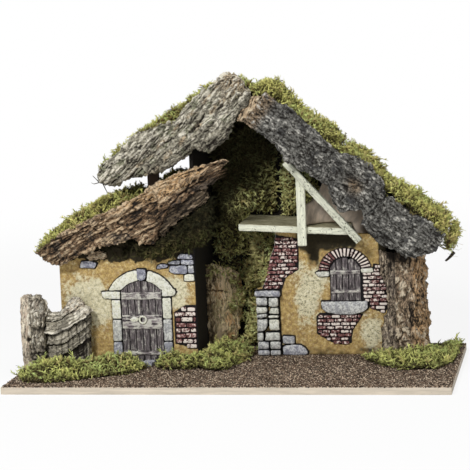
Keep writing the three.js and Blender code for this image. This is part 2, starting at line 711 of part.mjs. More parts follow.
function annexRoofBark() {
  const outline = onRoof(annexRoof, [
    [-54, -4], [-46, 1], [-18, 5], [6, 10], [26, 9.5], [58, 7], [100, 9], [133, 10], [167, 11],
    [195, 6], [183, -14.5], [174, -19], [152, -18], [128, -20], [108, -27], [87, -30], [78, -41],
    [65, -48], [56, -38], [34, -22.5], [7, -16.5], [-17, -17.8], [-35, -11.5],
  ]);
  return barkSlab(outline, { back: ANNEX_BARK_BACK, thick: ANNEX_BARK_THICK, grain: ANNEX_ROOF_FALL });
}

function annexRoofSplint() {
  const outline = onRoof(annexRoof, [
    [-17, -18.6], [7, -17.3], [34, -23.4], [55.4, -38.8], [54, -45], [41, -39], [14, -35],
    [-4, -32.5], [-13, -30],
  ]);
  return barkSlab(outline, { back: ANNEX_BARK_BACK, thick: 14, rough: 1.5, grain: ANNEX_ROOF_FALL });
}

function greyBark() {
  const outline = onRoof(mainLeft, [
    [-6, 13.5], [0, 20], [7, 24], [26, 22], [48, 18], [69, 13.5], [84, 6], [104, 13], [126, 17.5],
    [162, 9.5], [183, 6.5], [193, 2], [194.5, -4], [189, -15.5], [183, -20.5], [169, -20],
    [155, -25], [139, -28.5], [116, -35], [94, -33], [81, -28], [75, -32], [69, -41.5], [57, -40.5],
    [42, -38.5], [32, -30], [14.5, -18.7], [3, -17], [-5, -11], [-6.4, 3],
  ]);
  return barkSlab(outline, { back: ROOF_BARK_BACK, thick: GREY_BARK_THICK, grain: MAIN_LEFT_FALL });
}

// The dark slabs of the right slope meet each other with a narrow joint
function darkBarkUpper() {
  const outline = onRoof(mainRight, [
    [25.5, 11], [57, 16], [88, 12], [121.8, 7], [130.6, -8.5], [142.6, -31], [119, -31], [90, -33],
    [64, -25], [41, -27], [23.5, -27.5], [24.3, -16.4], [24.4, -3.5],
  ]);
  return barkSlab(outline, { back: ROOF_BARK_BACK, thick: DARK_BARK_THICK, grain: -MAIN_RIGHT_FALL });
}

function darkBarkMiddle() {
  const outline = onRoof(mainRight, [
    [121.8 + SLAB_JOINT, 7], [134, 7], [148, 15.5], [170, 16], [193, 6], [201.4, -2.5], [195.8, -33.6],
    [188, -29], [172, -43.5], [159, -42.5], [142.8 + SLAB_JOINT, -31], [130.8 + SLAB_JOINT, -8.4],
  ]);
  return barkSlab(outline, { back: ROOF_BARK_BACK, thick: DARK_BARK_THICK, grain: -MAIN_RIGHT_FALL });
}

function darkBarkLower() {
  const outline = onRoof(mainRight, [
    [201.6 + SLAB_JOINT, -2.4], [207, 1.5], [233, 0], [257, 3], [278, 3], [281, -6], [282.5, -18],
    [269, -38], [255, -43], [224, -48.5], [198, -41.5], [196 + SLAB_JOINT, -33.8],
  ]);
  return barkSlab(outline, { back: ROOF_BARK_BACK, thick: DARK_BARK_THICK, grain: -MAIN_RIGHT_FALL });
}

// Pale chip that fills the wedge between the grey and the dark bark at the ridge
function ridgeChip() {
  const outline = onRoof(mainRight, [
    [13.4, -0.7], [23, 8.5], [23.5, -4], [23.5, -16.5], [22, -27.6], [15.3, -32], [13.2, -20.5], [16, -9.8],
  ]);
  return barkSlab(outline, { back: ROOF_BARK_BACK - 3, thick: 8, cell: 6, bow: 1, rough: 1.2 });
}

function eaveChip() {
  const left = ANNEX_LEFT + 35;
  const z = GROUND + 122;
  const outline = [[left, z + 4], [left + 4, z], [left + 21, z + 2], [left + 23, z + 9], [left + 4, z + 12]];
  return barkSlab(outline, { back: ANNEX_FRONT - FIT, thick: 5, cell: 8, bow: 1, rough: 1 });
}

// Trunk: a half-round shell of bark round the stable's right front corner
function trunkBark() {
  const wallX = CAVE_RIGHT;
  const inFront = CAVE_FRONT - 3.2;
  const outer = [
    [FACADE_RIGHT - 9, inFront], [FACADE_RIGHT - 3, TRUNK_FRONT + 4], [FACADE_RIGHT + 10, TRUNK_FRONT],
    [wallX - 8, TRUNK_FRONT + 1], [wallX + 3, TRUNK_FRONT + 9], [wallX + 8, TRUNK_FRONT + 21],
    [wallX + 9, TRUNK_FRONT + 34], [wallX + 7, TRUNK_FRONT + 44],
  ];
  const inner = [
    [wallX + 1.2, TRUNK_FRONT + 44], [wallX + 1.6, TRUNK_FRONT + 30], [wallX - 1, TRUNK_FRONT + 21],
    [wallX - 8, CAVE_FRONT], [FACADE_RIGHT + 14, CAVE_FRONT - 2], [FACADE_RIGHT + 2, CAVE_FRONT - 2.2],
  ];
  const shell = planPrism([...outer, ...inner], GROUND, GROUND + TRUNK_HEIGHT, 9);
  const notchAt = (z) => 1 - THREE.MathUtils.smoothstep(Math.abs(z - GROUND - 0.53 * TRUNK_HEIGHT), 16, 30);
  moveVertices(shell, (p) => {
    const outward = unevenness(p.x / 9, p.z / 26, 4) + 0.5 * unevenness(p.x / 5, p.z / 9, 1);
    const share = p.y < inFront + 0.1 || p.x > wallX + 3 ? 1.6 * outward : 0;
    p.y -= p.x > wallX ? 0 : share;
    p.x += p.x > wallX ? share : 0.7 * notchAt(p.z) * Math.max(0, FACADE_RIGHT + 3 - p.x);
    p.z += p.z > GROUND + TRUNK_HEIGHT - 1 ? 5 * unevenness(p.x / 14, p.y / 14, 8) : 0;
  });
  return shell;
}

// Fence: a stump of bark and a bent plate of bark beside the annex
function fenceStump() {
  const left = 1 - BASE_WIDTH / 2;
  const outline = [
    [0, 0], [STUMP_WIDTH, 0], [STUMP_WIDTH, 60], [26, 76], [22, 79], [19, 84], [12, 82], [9, 86], [0, 84],
  ].map(([x, z]) => [left + x, GROUND + z]);
  const lean = (x) => FENCE_BACK - 0.1 * (x - left);
  return barkSlab(outline, { back: lean, thick: STUMP_THICK, cell: 9, bow: 5, rough: BARK_ROUGH });
}

function fenceCurve() {
  const left = 1 - BASE_WIDTH / 2 + STUMP_WIDTH + 1;
  const outline = [
    [0, 0], [PLATE_WIDTH - 2, 0], [PLATE_WIDTH - 1, 45], [PLATE_WIDTH, 58], [46, 70], [40, 81],
    [32, 84], [27, 79], [20, 67], [8, 65], [0, 70],
  ].map(([x, z]) => [left + x, GROUND + z]);
  const across = (x) => (x - left) / PLATE_WIDTH;
  const bend = (x) => FENCE_BACK - 2 + 8 * across(x) ** 2 - 6 * Math.sin(across(x) * Math.PI);
  return barkSlab(outline, { back: bend, thick: PLATE_THICK, cell: 8, bow: 3, rough: BARK_ROUGH });
}

// Cave corner bark: bends across the corner of the left wall and the back panel
function caveCornerBark() {
  const left = ANNEX_RIGHT + FIT;
  const outline = [
    [0, 1], [26, 1], [32, 30], [38, 62], [33, 88], [22, 98], [8, 104], [0, 104],
  ].map(([x, z]) => [left + x, GROUND + z]);
  const bend = (x) => CORNER_BARK_Y + 1.05 * (x - left);
  return barkSlab(outline, { back: bend, thick: CORNER_BARK_THICK, cell: 9, bow: 1, rough: 1.5 });
}

// Door step: a low stone in front of the door
function doorStep() {
  const plan = [[3, -17], [12, -18], [15, -9], [13, -4], [4, -4.5], [1, -11]];
  return planPrism(plan.map(([x, y]) => [DOOR_X + x, ANNEX_FRONT + y]), GROUND, GROUND + 6);
}

// Ground moss, drawn in plan
function groundMossLeft() {
  const left = -BASE_WIDTH / 2;
  const wall = ANNEX_FRONT - STONE_RELIEF - 1;
  const stumpFront = FENCE_BACK - STUMP_THICK - 1.5 * BARK_ROUGH;
  const plateRight = left + STUMP_WIDTH + PLATE_WIDTH + 2.5;
  const plan = [
    [left + 2, stumpFront], [left + 3, -74], [left + 16, -101], [left + 38, -109], [left + 63, -103],
    [left + 103, -79], [left + 132, -62], [DOOR_X + 12, -28], [DOOR_X + 14, wall], [plateRight, wall],
    [plateRight, stumpFront + 5], [left + STUMP_WIDTH + 2, stumpFront],
  ];
  const stepSide = block([DOOR_X, ANNEX_FRONT - 20, 0], [DOOR_X + 40, ANNEX_FRONT, FAR]);
  return mossPad(plan, MOSS_PEAK, onGround, { shoulder: 26 }).subtract(solid(stepSide));
}

function groundMossCentre() {
  const wall = ANNEX_FRONT - STONE_RELIEF - 1;
  const left = DOOR_X + 17;
  const wallSide = ANNEX_RIGHT + FIT;
  const right = PIER_LEFT - 1;
  const plan = [
    [left, wall], [left, -26], [left + 20, -42], [ANNEX_RIGHT + 5, -34], [ANNEX_RIGHT + 27, -48],
    [ANNEX_RIGHT + 43, -36], [ANNEX_RIGHT + 53, 0], [right, CAVE_FRONT - 16],
    [right, CAVE_FRONT + 12], [-20, CORNER_BARK_Y - 2], [wallSide, CORNER_BARK_Y - 14], [wallSide, wall],
  ];
  return mossPad(plan, MOSS_PEAK + 2, onGround);
}

function groundMossRight() {
  const front = TRUNK_FRONT - 3;
  const plan = [
    [FACADE_RIGHT - 30, front + 6], [FACADE_RIGHT - 25, 10], [FACADE_RIGHT - 6, -17],
    [CAVE_RIGHT - 12, -41], [CAVE_RIGHT + 14, -38], [CAVE_RIGHT + 33, -34], [CAVE_RIGHT + 47, 6],
    [CAVE_RIGHT + 48, front + 11], [CAVE_RIGHT + 14, front + 11], [CAVE_RIGHT + 10, front],
    [FACADE_RIGHT - 6, front],
  ];
  return mossPad(plan, MOSS_PEAK - 4, onGround);
}

function groundMossCorner() {
  const front = TRUNK_FRONT + 8.5;
  const plan = [
    [CAVE_RIGHT + 14.5, front], [CAVE_RIGHT + 48, front], [CAVE_RIGHT + 49, 80], [CAVE_RIGHT + 48, 112],
    [CAVE_RIGHT + 38, 117], [CAVE_RIGHT + 22, 113], [CAVE_RIGHT + 14.5, 84],
  ];
  return mossPad(plan, MOSS_PEAK - 9, onGround, { shoulder: 12 });
}

// Moss on the cave's back panel, drawn in the front view
const onBackPanel = onWall(BACK_INSIDE - FIT);
const corner = ANNEX_RIGHT + FIT;

function caveMossUpper() {
  const above = loftTopAt(LOFT_LEFT) + FIT;
  const besideLoft = LOFT_LEFT - FIT - 1;
  const outline = [
    [corner, GROUND + 105], [-22, GROUND + 104.5], [besideLoft, GROUND + 106], [besideLoft, above],
    [35, above], [34, RIDGE_Z - 96], [44, RIDGE_Z - 60], [28, RIDGE_Z - 38], [12, RIDGE_Z - 26],
    [-4, RIDGE_Z - 34], [-28, RIDGE_Z - 46], [corner, RIDGE_Z - 58],
  ];
  return mossPad(outline, 22, onBackPanel);
}

function loftMoss() {
  const left = 35.4;
  const right = 78;
  const outline = [
    [left, loftTopAt(left) + FIT], [right, loftTopAt(right) + FIT], [82, RIDGE_Z - 126],
    [76, RIDGE_Z - 90], [56, RIDGE_Z - 72], [44.5, RIDGE_Z - 61], [34.5, RIDGE_Z - 96],
  ];
  return mossPad(outline, 24, onBackPanel);
}

function caveMossMiddle() {
  const top = (x) => loftUnderAt(x) - FIT;
  const beside = LOFT_LEFT - 1;
  const outline = [
    [-9.5, GROUND + 69], [10, GROUND + 68], [38, GROUND + 75], [50, GROUND + 101], [56, top(56)],
    [beside, top(beside)], [beside, GROUND + 104], [-22, GROUND + 103.5], [-13, GROUND + 90],
  ];
  return mossPad(outline, 42, onBackPanel);
}

function caveMossLow() {
  const outline = [
    [-12, GROUND], [34, GROUND], [36, GROUND + 51], [30, GROUND + 67], [2, GROUND + 67], [-9.5, GROUND + 65],
    [-9.5, GROUND + 57],
  ];
  return mossPad(outline, 44, onBackPanel);
}

// Moss on the roofs; the two main slopes' blankets meet plumb over the ridge
const RIDGE_GAP = FIT;

function annexRoofMoss() {
  const heights = [14, 22, 26, 25, 23, 22, 18];
  return mossBlanket(annexRoof, 62, ANNEX_ROOF_LENGTH + 9, ANNEX_BARK_BACK + FIT, ROOF_BACK, heights);
}

function gapMoss() {
  const heights = [5, 9, 14, 14];
  return mossBlanket(annexRoof, 8, 48, PROP_FRONT + PROP_DEPTH + FIT, ROOF_BACK - 4, heights);
}

function annexEaveMoss() {
  const outline = [
    [-75, 143], [-68, 128], [-55, 122], [-35, 125], [-17, 130], [-1, 133], [13, 133], [22, 141],
    [28, 159], [28, 197], [-11, 197],
  ].map(([x, z]) => [ANNEX_RIGHT + x, GROUND + z]);
  const bark = onRoof(annexRoof, [
    [-60, -18.4], [-19, -18.8], [-13, -31], [-4, -33.2], [14, -35.8], [41, -40], [54, -46],
    [56, -42], [65, -49], [79, -42], [88, -31], [108, -28], [130, -21], [130, 60], [-60, 60],
  ]);
  const pad = mossPad(outline, 15, onWall(ANNEX_FRONT - STONE_RELIEF - FIT), { shoulder: 12 });
  return pad.subtract(solid(frontPrism(bark, -FAR, FAR)));
}

function mainMossLeft() {
  const heights = [16, 20, 26, 24, 20, 20, 16, 12];
  const front = ROOF_BARK_BACK + FIT;
  return mossBlanket(mainLeft, RIDGE_GAP, MAIN_LEFT_LENGTH + 4, front, ROOF_BACK, heights, true);
}

function mainMossUpper() {
  const heights = [16, 22, 15, 14, 16, 18, 18];
  return mossBlanket(mainRight, RIDGE_GAP, 126, ROOF_BARK_BACK + FIT, ROOF_BACK, heights, true);
}

function mainMossLower() {
  const heights = [19, 14, 13, 9, 12, 10, 13, 12];
  return mossBlanket(mainRight, 126 + FIT, MAIN_RIGHT_LENGTH - 1, ROOF_BARK_BACK + FIT, ROOF_BACK, heights);
}

function roofEndMoss() {
  const [x, z] = mainRight.at(MAIN_RIGHT_LENGTH, 0);
  const front = ROOF_BARK_BACK + FIT;
  const back = ROOF_BACK - 3;
  const profile = [
    [front, z - 8], [front + 8, z - 18], [front + 34, z - 21], [front + 60, z - 17], [back - 16, z - 18],
    [back, z - 10], [back, z + 9], [front, z + 9],
  ];
  const onEdge = (geometry) => geometry.rotateX(Math.PI / 2).rotateZ(Math.PI / 2).translate(x, 0, 0);
  const pad = mossPad(profile, BASE_WIDTH / 2 - 3 - x, onEdge, { shoulder: 9 });
  const under = -BOARD_THICK - FIT;
  const end = MAIN_RIGHT_LENGTH + FIT;
  const roof = [[0, under], [end, under], [end, 40], [0, 40]];
  return pad.subtract(solid(frontPrism(onRoof(mainRight, roof), -FAR, FAR)));
}

// Finishes, taken from the surfaces of the stable
const finish = (color, roughness) => new THREE.MeshStandardMaterial({ color, roughness, metalness: 0 });

const stable = new THREE.Group();

function place(name, shape, material) {
  const geometry = shape instanceof THREE.BufferGeometry ? shape : geometryOf(shape);
  const mesh = new THREE.Mesh(geometry, material);
  mesh.name = name;
  stable.add(mesh);
}

const half = [BASE_WIDTH / 2, BASE_DEPTH / 2];
const gritLow = [GRIT_MARGIN - half[0], GRIT_MARGIN - half[1], BASE_THICK];
const gritHigh = [half[0] - GRIT_MARGIN, half[1] - GRIT_MARGIN, GROUND];

place('base_board', block([-half[0], -half[1], 0], [half[0], half[1], BASE_THICK]), finish(0xd9ccb4, 0.8));
place('ground_grit', block(gritLow, gritHigh), finish(0x5a4634, 1));

const sideFront = ANNEX_FRONT + PANEL_THICK + FIT;
const annexSideRight = ANNEX_LEFT + BOARD_THICK;
const rightWallFront = CAVE_FRONT + SIDE_WALL_SETBACK;
const rightWallLeft = CAVE_RIGHT - BOARD_THICK;
const annexSide = sideWall(ANNEX_LEFT, annexSideRight, sideFront, annexRoof.underAt);
const caveRightSide = sideWall(rightWallLeft, CAVE_RIGHT, rightWallFront, mainRight.underAt);
place('annex_facade', annexFacade(), finish(0xa88d4e, 0.9));
place('annex_side_wall', annexSide, finish(0xb5a890, 0.85));
place('cave_left_wall', caveLeftWall(), finish(0x4c3d2e, 0.9));
place('cave_facade', caveFacade(), finish(0xa88d4e, 0.9));
place('right_side_wall', caveRightSide, finish(0xb5a890, 0.85));
place('back_panel', backPanel(), finish(0xb5a890, 0.85));
place('door_step', doorStep(), finish(0x6c6672, 0.9));

const annexBoard = roofBoard(annexRoof, ANNEX_ROOF_LENGTH, ANNEX_BARK_BACK + FIT);
const mainBoardLeft = roofBoard(mainLeft, MAIN_LEFT_LENGTH, ROOF_BARK_BACK + FIT);
const mainBoardRight = roofBoard(mainRight, MAIN_RIGHT_LENGTH, ROOF_BARK_BACK + FIT);
place('annex_roof_board', annexBoard, finish(0x8d7760, 0.85));
place('main_roof_board_left', mainBoardLeft, finish(0x8d7760, 0.85));
place('main_roof_board_right', mainBoardRight, finish(0x8d7760, 0.85));
place('roof_prop', roofProp(), finish(0x8d7760, 0.85));

place('loft_board', loftBoard(), finish(0xcfc6a6, 0.8));
place('loft_post', loftPost(), finish(0xd4cfae, 0.8));
place('loft_rafter', loftRafter(), finish(0xc9c19d, 0.8));
place('loft_bark', loftBark(), finish(0x8f7d6c, 0.85));

place('annex_roof_bark', annexRoofBark(), finish(0x6f543c, 0.95));
place('annex_roof_splint', annexRoofSplint(), finish(0x786753, 0.95));
place('grey_roof_bark', greyBark(), finish(0x8a8272, 0.95));
place('dark_roof_bark_upper', darkBarkUpper(), finish(0x4a4845, 0.95));
place('dark_roof_bark_middle', darkBarkMiddle(), finish(0x4a4845, 0.95));
place('dark_roof_bark_lower', darkBarkLower(), finish(0x4a4845, 0.95));
place('ridge_bark_chip', ridgeChip(), finish(0x9a7b52, 0.9));
place('eave_bark_chip', eaveChip(), finish(0xa8946c, 0.9));
place('trunk_bark', trunkBark(), finish(0x70604a, 0.95));
place('fence_stump_bark', fenceStump(), finish(0x7a6c55, 0.95));
place('fence_curved_bark', fenceCurve(), finish(0x7a6c55, 0.95));
place('cave_corner_bark', caveCornerBark(), finish(0x7d5a3a, 0.95));

const moss = () => finish(0x6f7a2c, 1);
place('ground_moss_left', groundMossLeft(), moss());
place('ground_moss_centre', groundMossCentre(), moss());
place('ground_moss_right', groundMossRight(), moss());
place('ground_moss_corner', groundMossCorner(), moss());
place('cave_moss_upper', caveMossUpper(), moss());
place('loft_moss', loftMoss(), moss());
place('cave_moss_middle', caveMossMiddle(), moss());
place('cave_moss_low', caveMossLow(), moss());
place('annex_roof_moss', annexRoofMoss(), moss());
place('roof_gap_moss', gapMoss(), moss());
place('annex_eave_moss', annexEaveMoss(), moss());
place('main_roof_moss_left', mainMossLeft(), moss());
place('main_roof_moss_upper', mainMossUpper(), moss());
place('main_roof_moss_lower', mainMossLower(), moss());
place('roof_end_moss', roofEndMoss(), moss());

export default stable;
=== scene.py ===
"""Nativity stable, dressed: bark slabs, moss, painted castings, a whitewashed loft and a yard of grit.

Everything is in metres in the part's own frame: +X to the viewer's right, -Y towards the viewer, +Z up.
Layout numbers in lists are millimetres in the front view, counted from the named places beside them.
"""

import math
import random

import bmesh
import bpy
import numpy as np
from bpy.props import FloatProperty, FloatVectorProperty, PointerProperty
from bpy.types import Operator, Panel, PropertyGroup
from mathutils import Matrix, Vector, noise
from mathutils.bvhtree import BVHTree


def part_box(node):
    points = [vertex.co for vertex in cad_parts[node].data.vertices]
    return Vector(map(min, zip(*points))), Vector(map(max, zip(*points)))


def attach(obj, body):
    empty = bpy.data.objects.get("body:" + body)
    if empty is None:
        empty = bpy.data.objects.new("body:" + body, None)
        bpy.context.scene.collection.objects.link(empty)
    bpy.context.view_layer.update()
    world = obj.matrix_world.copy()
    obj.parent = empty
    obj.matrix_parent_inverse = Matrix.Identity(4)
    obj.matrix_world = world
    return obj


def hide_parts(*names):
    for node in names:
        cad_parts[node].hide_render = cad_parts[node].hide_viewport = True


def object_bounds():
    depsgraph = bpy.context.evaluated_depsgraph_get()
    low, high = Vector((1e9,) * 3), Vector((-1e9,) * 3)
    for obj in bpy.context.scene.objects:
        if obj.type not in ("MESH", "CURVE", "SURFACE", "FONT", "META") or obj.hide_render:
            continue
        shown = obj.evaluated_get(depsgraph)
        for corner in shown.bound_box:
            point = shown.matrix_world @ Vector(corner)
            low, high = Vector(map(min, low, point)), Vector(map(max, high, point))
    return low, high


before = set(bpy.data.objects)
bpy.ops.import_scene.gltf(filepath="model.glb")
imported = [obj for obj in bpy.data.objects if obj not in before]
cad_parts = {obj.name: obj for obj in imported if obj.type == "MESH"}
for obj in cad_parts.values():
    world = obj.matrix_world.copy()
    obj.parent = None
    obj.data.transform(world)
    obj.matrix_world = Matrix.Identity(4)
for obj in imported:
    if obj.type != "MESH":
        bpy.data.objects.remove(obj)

bl_info = {
    "name": "Nativity stable",
    "version": (1, 0, 0),
    "blender": (4, 5, 0),
    "location": "3D Viewport > Sidebar > Stable",
    "description": "Dresses the stable's frame with bark, moss, castings, timber and grit",
    "category": "Object",
}

CAD_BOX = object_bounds()
MM = 0.001
# Seed of the noise in the barks, so that every run tears the same edges
NOISE_SEED = 1

# Places shared by several pieces, in millimetres
GROUND = 9.2
ANNEX_LEFT, ANNEX_RIGHT, ANNEX_FRONT, ANNEX_THICK = -209.0, -49.0, 0.0, 6.0
ANNEX_ROOF_X, ANNEX_ROOF_Z, ROOF_BOARD, FIT = -53.3, 224.2, 4.0, 0.3
PIER_LEFT, PIER_RIGHT = 12.0, 41.0
CAVE_RIGHT, CAVE_FRONT, CAVE_THICK = 166.0, 50.0, 7.0
DOOR_X, DOOR_HALF, DOOR_ARCH, DOOR_ARCH_Z = -112.7, 24.3, 30.7, GROUND + 67.3
WINDOW_X, WINDOW_HALF, WINDOW_ARCH, WINDOW_SQUASH = 117.8, 17.8, 30.5, 0.86
WINDOW_SPRING, WINDOW_SILL = GROUND + 99.0, GROUND + 64.0

# Falls of the roofs in the front view, in degrees
LEFT_SLOPE, RIGHT_SLOPE, ANNEX_SLOPE = 28.5, -37.3, 26.4


# Properties

def colour(label, text, rgb):
    """A colour property with its default in linear light."""
    return FloatVectorProperty(
        name=label, description=text, subtype="COLOR", size=3, min=0, max=1, default=rgb)


def length(label, text, metres, low=0.0001, high=0.5):
    """A length property in metres."""
    return FloatProperty(name=label, description=text, unit="LENGTH", default=metres, min=low, max=high)


class StableColours(PropertyGroup):
    """Colours of the finishes, in linear light."""
    moss_tip: colour("Moss tip", "Young ends of the shoots on the roofs", (0.82, 0.79, 0.25))
    moss_body: colour("Moss body", "Lower part of the shoots on the roofs", (0.20, 0.185, 0.055))
    yard_moss_tip: colour("Yard moss tip", "Young ends of the shoots on the ground", (0.80, 0.82, 0.27))
    yard_moss_body: colour("Yard moss body", "Lower part of the shoots on the ground", (0.19, 0.195, 0.06))
    moss_bed: colour("Moss bed", "Dark mat under the shoots", (0.045, 0.036, 0.015))
    grey_bark: colour("Grey bark", "Weathered face of the left slope's slab", (0.40, 0.37, 0.285))
    dark_bark: colour("Dark bark", "Charcoal face of the right slope's slabs", (0.20, 0.195, 0.175))
    brown_bark: colour("Brown bark", "Face of the annex roof's slab", (0.245, 0.155, 0.088))
    trunk_bark: colour("Trunk bark", "Face of the trunk at the right corner", (0.36, 0.285, 0.205))
    fence_bark: colour("Fence bark", "Face of the stump and the bent plate", (0.42, 0.38, 0.295))
    corner_bark: colour("Cave bark", "Face of the plate in the cave's corner", (1.0, 0.68, 0.38))
    inner_bark: colour("Inner bark", "Smooth sheet that closes the loft", (0.66, 0.55, 0.44))
    # The crack colour is painted shade where the relief's light share is low, in cracks, hollows and under
    # lips, and also draws the hair cracks.
    crack: colour("Bark crack", "Bottom of the cracks in every bark", (0.022, 0.017, 0.013))
    stucco: colour("Stucco", "Ochre ground of the castings", (0.555, 0.39, 0.135))
    stucco_light: colour("Stucco light", "Cream dry-brushed on the stucco", (0.80, 0.74, 0.50))
    joint: colour("Joint", "Dark wash round the stones and bricks", (0.014, 0.012, 0.013))
    stone_cream: colour("Cream stone", "Warm face of the cast stones", (0.88, 0.87, 0.70))
    stone_lilac: colour("Lilac stone", "Cool face of the cast stones", (0.35, 0.36, 0.44))
    brick: colour("Brick", "Maroon of the cast bricks", (0.17, 0.070, 0.066))
    brick_light: colour("Brick light", "Pale dry brushing on the bricks", (0.86, 0.78, 0.70))
    plank: colour("Plank", "Dark leaf of door and window", (0.105, 0.090, 0.092))
    plank_light: colour("Plank light", "Pale dry brushing on the leaves", (0.70, 0.68, 0.60))
    timber: colour("Timber", "Whitewashed loft wood", (0.86, 0.87, 0.70))
    grit: colour("Grit", "Dark grains of the yard", (0.080, 0.052, 0.034))
    grit_light: colour("Grit light", "Tan grains of the yard", (0.66, 0.54, 0.40))
    base: colour("Base edge", "Sawn edge of the base board", (0.63, 0.555, 0.45))
    board: colour("Board", "Stained boards of sides, back and roofs", (0.075, 0.050, 0.034))


class StableSizes(PropertyGroup):
    """Sizes of the details that the frame doesn't hold."""
    bark_cell: length("Bark cell", "Grid of the bark surfaces", 0.00095, 0.0008, 0.005)
    moss_cell: length("Moss cell", "Grid of the mat under the moss", 0.003, 0.002, 0.01)
    shoot: length("Moss shoot", "Usual length of a moss shoot", 0.0082, 0.002, 0.03)
    panel_cell: length("Panel cell", "Grid of the cast panels", 0.0014, 0.0008, 0.005)
    grain: length("Grit grain", "Usual size of a loose grain", 0.0016, 0.0003, 0.003)


# Shader expressions

class Value:
    """A shader socket that takes part in Python arithmetic."""

    def __init__(self, shader, socket):
        self.shader = shader
        self.socket = socket

    def _math(self, operation, *others):
        sockets = dict(enumerate([self, *others]))
        return self.shader.node("ShaderNodeMath", {"operation": operation}, sockets).out()

    def __add__(self, other):
        return self._math("ADD", other)

    def __mul__(self, other):
        return self._math("MULTIPLY", other)

    def __sub__(self, other):
        return self._math("SUBTRACT", other)

    def __rsub__(self, other):
        return self.shader.node("ShaderNodeMath", {"operation": "SUBTRACT"}, {0: other, 1: self}).out()

    __radd__ = __add__
    __rmul__ = __mul__

    def between(self, low, high):
        """0 at low and 1 at high, with a smooth change between."""
        settings = {"interpolation_type": "SMOOTHSTEP"}
        return self.shader.node("ShaderNodeMapRange", settings, {0: self, 1: low, 2: high}).out()


class Made:
    """A node that has been made, with its outputs as values."""

    def __init__(self, shader, node):
        self.shader = shader
        self.node = node

    def out(self, key=0):
        """One output, by its number or its name."""
        return Value(self.shader, self.node.outputs[key])


class Shader:
    """One material, or a world's light, built from Python expressions."""

    def __init__(self, name, world=None):
        self.material = world or bpy.data.materials.new(name)
        self.material.use_nodes = True
        self.tree = self.material.node_tree
        self.tree.nodes.clear()
        self.place = self.node("ShaderNodeTexCoord", {}, {}).out("Object")

    def node(self, kind, settings, sockets):
        """Any node: its type, its settings, and the values or links of its sockets."""
        node = self.tree.nodes.new(kind)
        for key, value in settings.items():
            setattr(node, key, value)
        for key, value in sockets.items():
            if isinstance(value, Value):
                self.tree.links.new(value.socket, node.inputs[key])
            elif hasattr(value, "__len__") and len(value) == 3 and node.inputs[key].type == "RGBA":
                node.inputs[key].default_value = (*value, 1)
            else:
                node.inputs[key].default_value = value
        return Made(self, node)

    def attribute(self, name, output="Fac"):
        """A value that the piece's own mesh carries."""
        return self.node("ShaderNodeAttribute", {"attribute_name": name}, {}).out(output)

    def grain(self, stretch=1.0):
        """The piece's own grain coordinates, drawn out along the grain."""
        along = self.attribute("grain", "Vector")
        scale = {0: along, 1: (1 / stretch, 1, 1)}
        return self.node("ShaderNodeVectorMath", {"operation": "MULTIPLY"}, scale).out()

    def noise(self, size, detail=3.0, place=None, rough=0.55):
        """Cloudy pattern from 0 to 1, with features of a size in metres."""
        sockets = {"Vector": place or self.place, "Scale": 1 / size, "Detail": detail, "Roughness": rough}
        return self.node("ShaderNodeTexNoise", {}, sockets).out(0)

    def cells(self, size, place=None, feature="F1"):
        """Distance pattern of scattered cells of a size in metres."""
        sockets = {"Vector": place or self.place, "Scale": 1 / size}
        return self.node("ShaderNodeTexVoronoi", {"feature": feature}, sockets).out("Distance")

    def warped(self, place, size, amount):
        """Coordinates pushed about by a cloudy pattern, so that straight lines bend."""
        cloud = {"Vector": place, "Scale": 1 / size, "Detail": 2.0}
        push = self.node("ShaderNodeTexNoise", {}, cloud).out("Color")
        sockets = {0: push, 1: (amount, amount, amount), 2: place}
        return self.node("ShaderNodeVectorMath", {"operation": "MULTIPLY_ADD"}, sockets).out()

    def drawn_out(self, share):
        """Coordinates with X scaled by a share, so that a pattern runs along X."""
        sockets = {"Vector": self.place, "Scale": (share, 1, 1)}
        return self.node("ShaderNodeMapping", {}, sockets).out()

    def axes(self):
        """The X, Y and Z of the place."""
        made = self.node("ShaderNodeSeparateXYZ", {}, {"Vector": self.place})
        return [made.out(axis) for axis in "XYZ"]

    def mix(self, share, first, second):
        """The first colour where share is 0 and the second where it is 1."""
        settings = {"data_type": "RGBA"}
        return self.node("ShaderNodeMix", settings, {0: share, 6: first, 7: second}).out(2)

    def finish(self, base, roughness=0.9, height=None, depth=0.0005, specular=0.25):
        """Ends the tree with a surface, and returns the material."""
        sockets = {"Base Color": base, "Roughness": roughness, "Specular IOR Level": specular}
        if height is not None:
            bump = {"Height": height, "Distance": depth, "Strength": 1.0}
            sockets["Normal"] = self.node("ShaderNodeBump", {}, bump).out("Normal")
        surface = self.node("ShaderNodeBsdfPrincipled", {}, sockets).out("BSDF")
        self.node("ShaderNodeOutputMaterial", {}, {"Surface": surface})
        return self.material


def scaled(rgb, share):
    """A colour made lighter or darker."""
    return tuple(min(1.0, channel * share) for channel in rgb)


# Mesh helpers

def finished_mesh(name, bm):
    """The mesh of a finished bmesh."""
    mesh = bpy.data.meshes.new(name)
    bm.to_mesh(mesh)
    bm.free()
    return mesh


def node_shape(name):
    """A merged copy of a node's mesh."""
    bm = bmesh.new()
    bm.from_mesh(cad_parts[name].data)
    bmesh.ops.remove_doubles(bm, verts=bm.verts, dist=1e-6)
    return bm


def even_grid(bm, cell):
    """The same closed shape with its surface divided into small even faces."""
    mesh = finished_mesh("even_grid", bm)
    carrier = bpy.data.objects.new("even_grid", mesh)
    bpy.context.collection.objects.link(carrier)
    modifier = carrier.modifiers.new("even_grid", "REMESH")
    modifier.mode = "VOXEL"
    modifier.voxel_size = cell
    graph = bpy.context.evaluated_depsgraph_get()
    even = bpy.data.meshes.new_from_object(carrier.evaluated_get(graph))
    bpy.data.objects.remove(carrier)
    bpy.data.meshes.remove(mesh)
    result = bmesh.new()
    result.from_mesh(even)
    bpy.data.meshes.remove(even)
    result.normal_update()
    return result


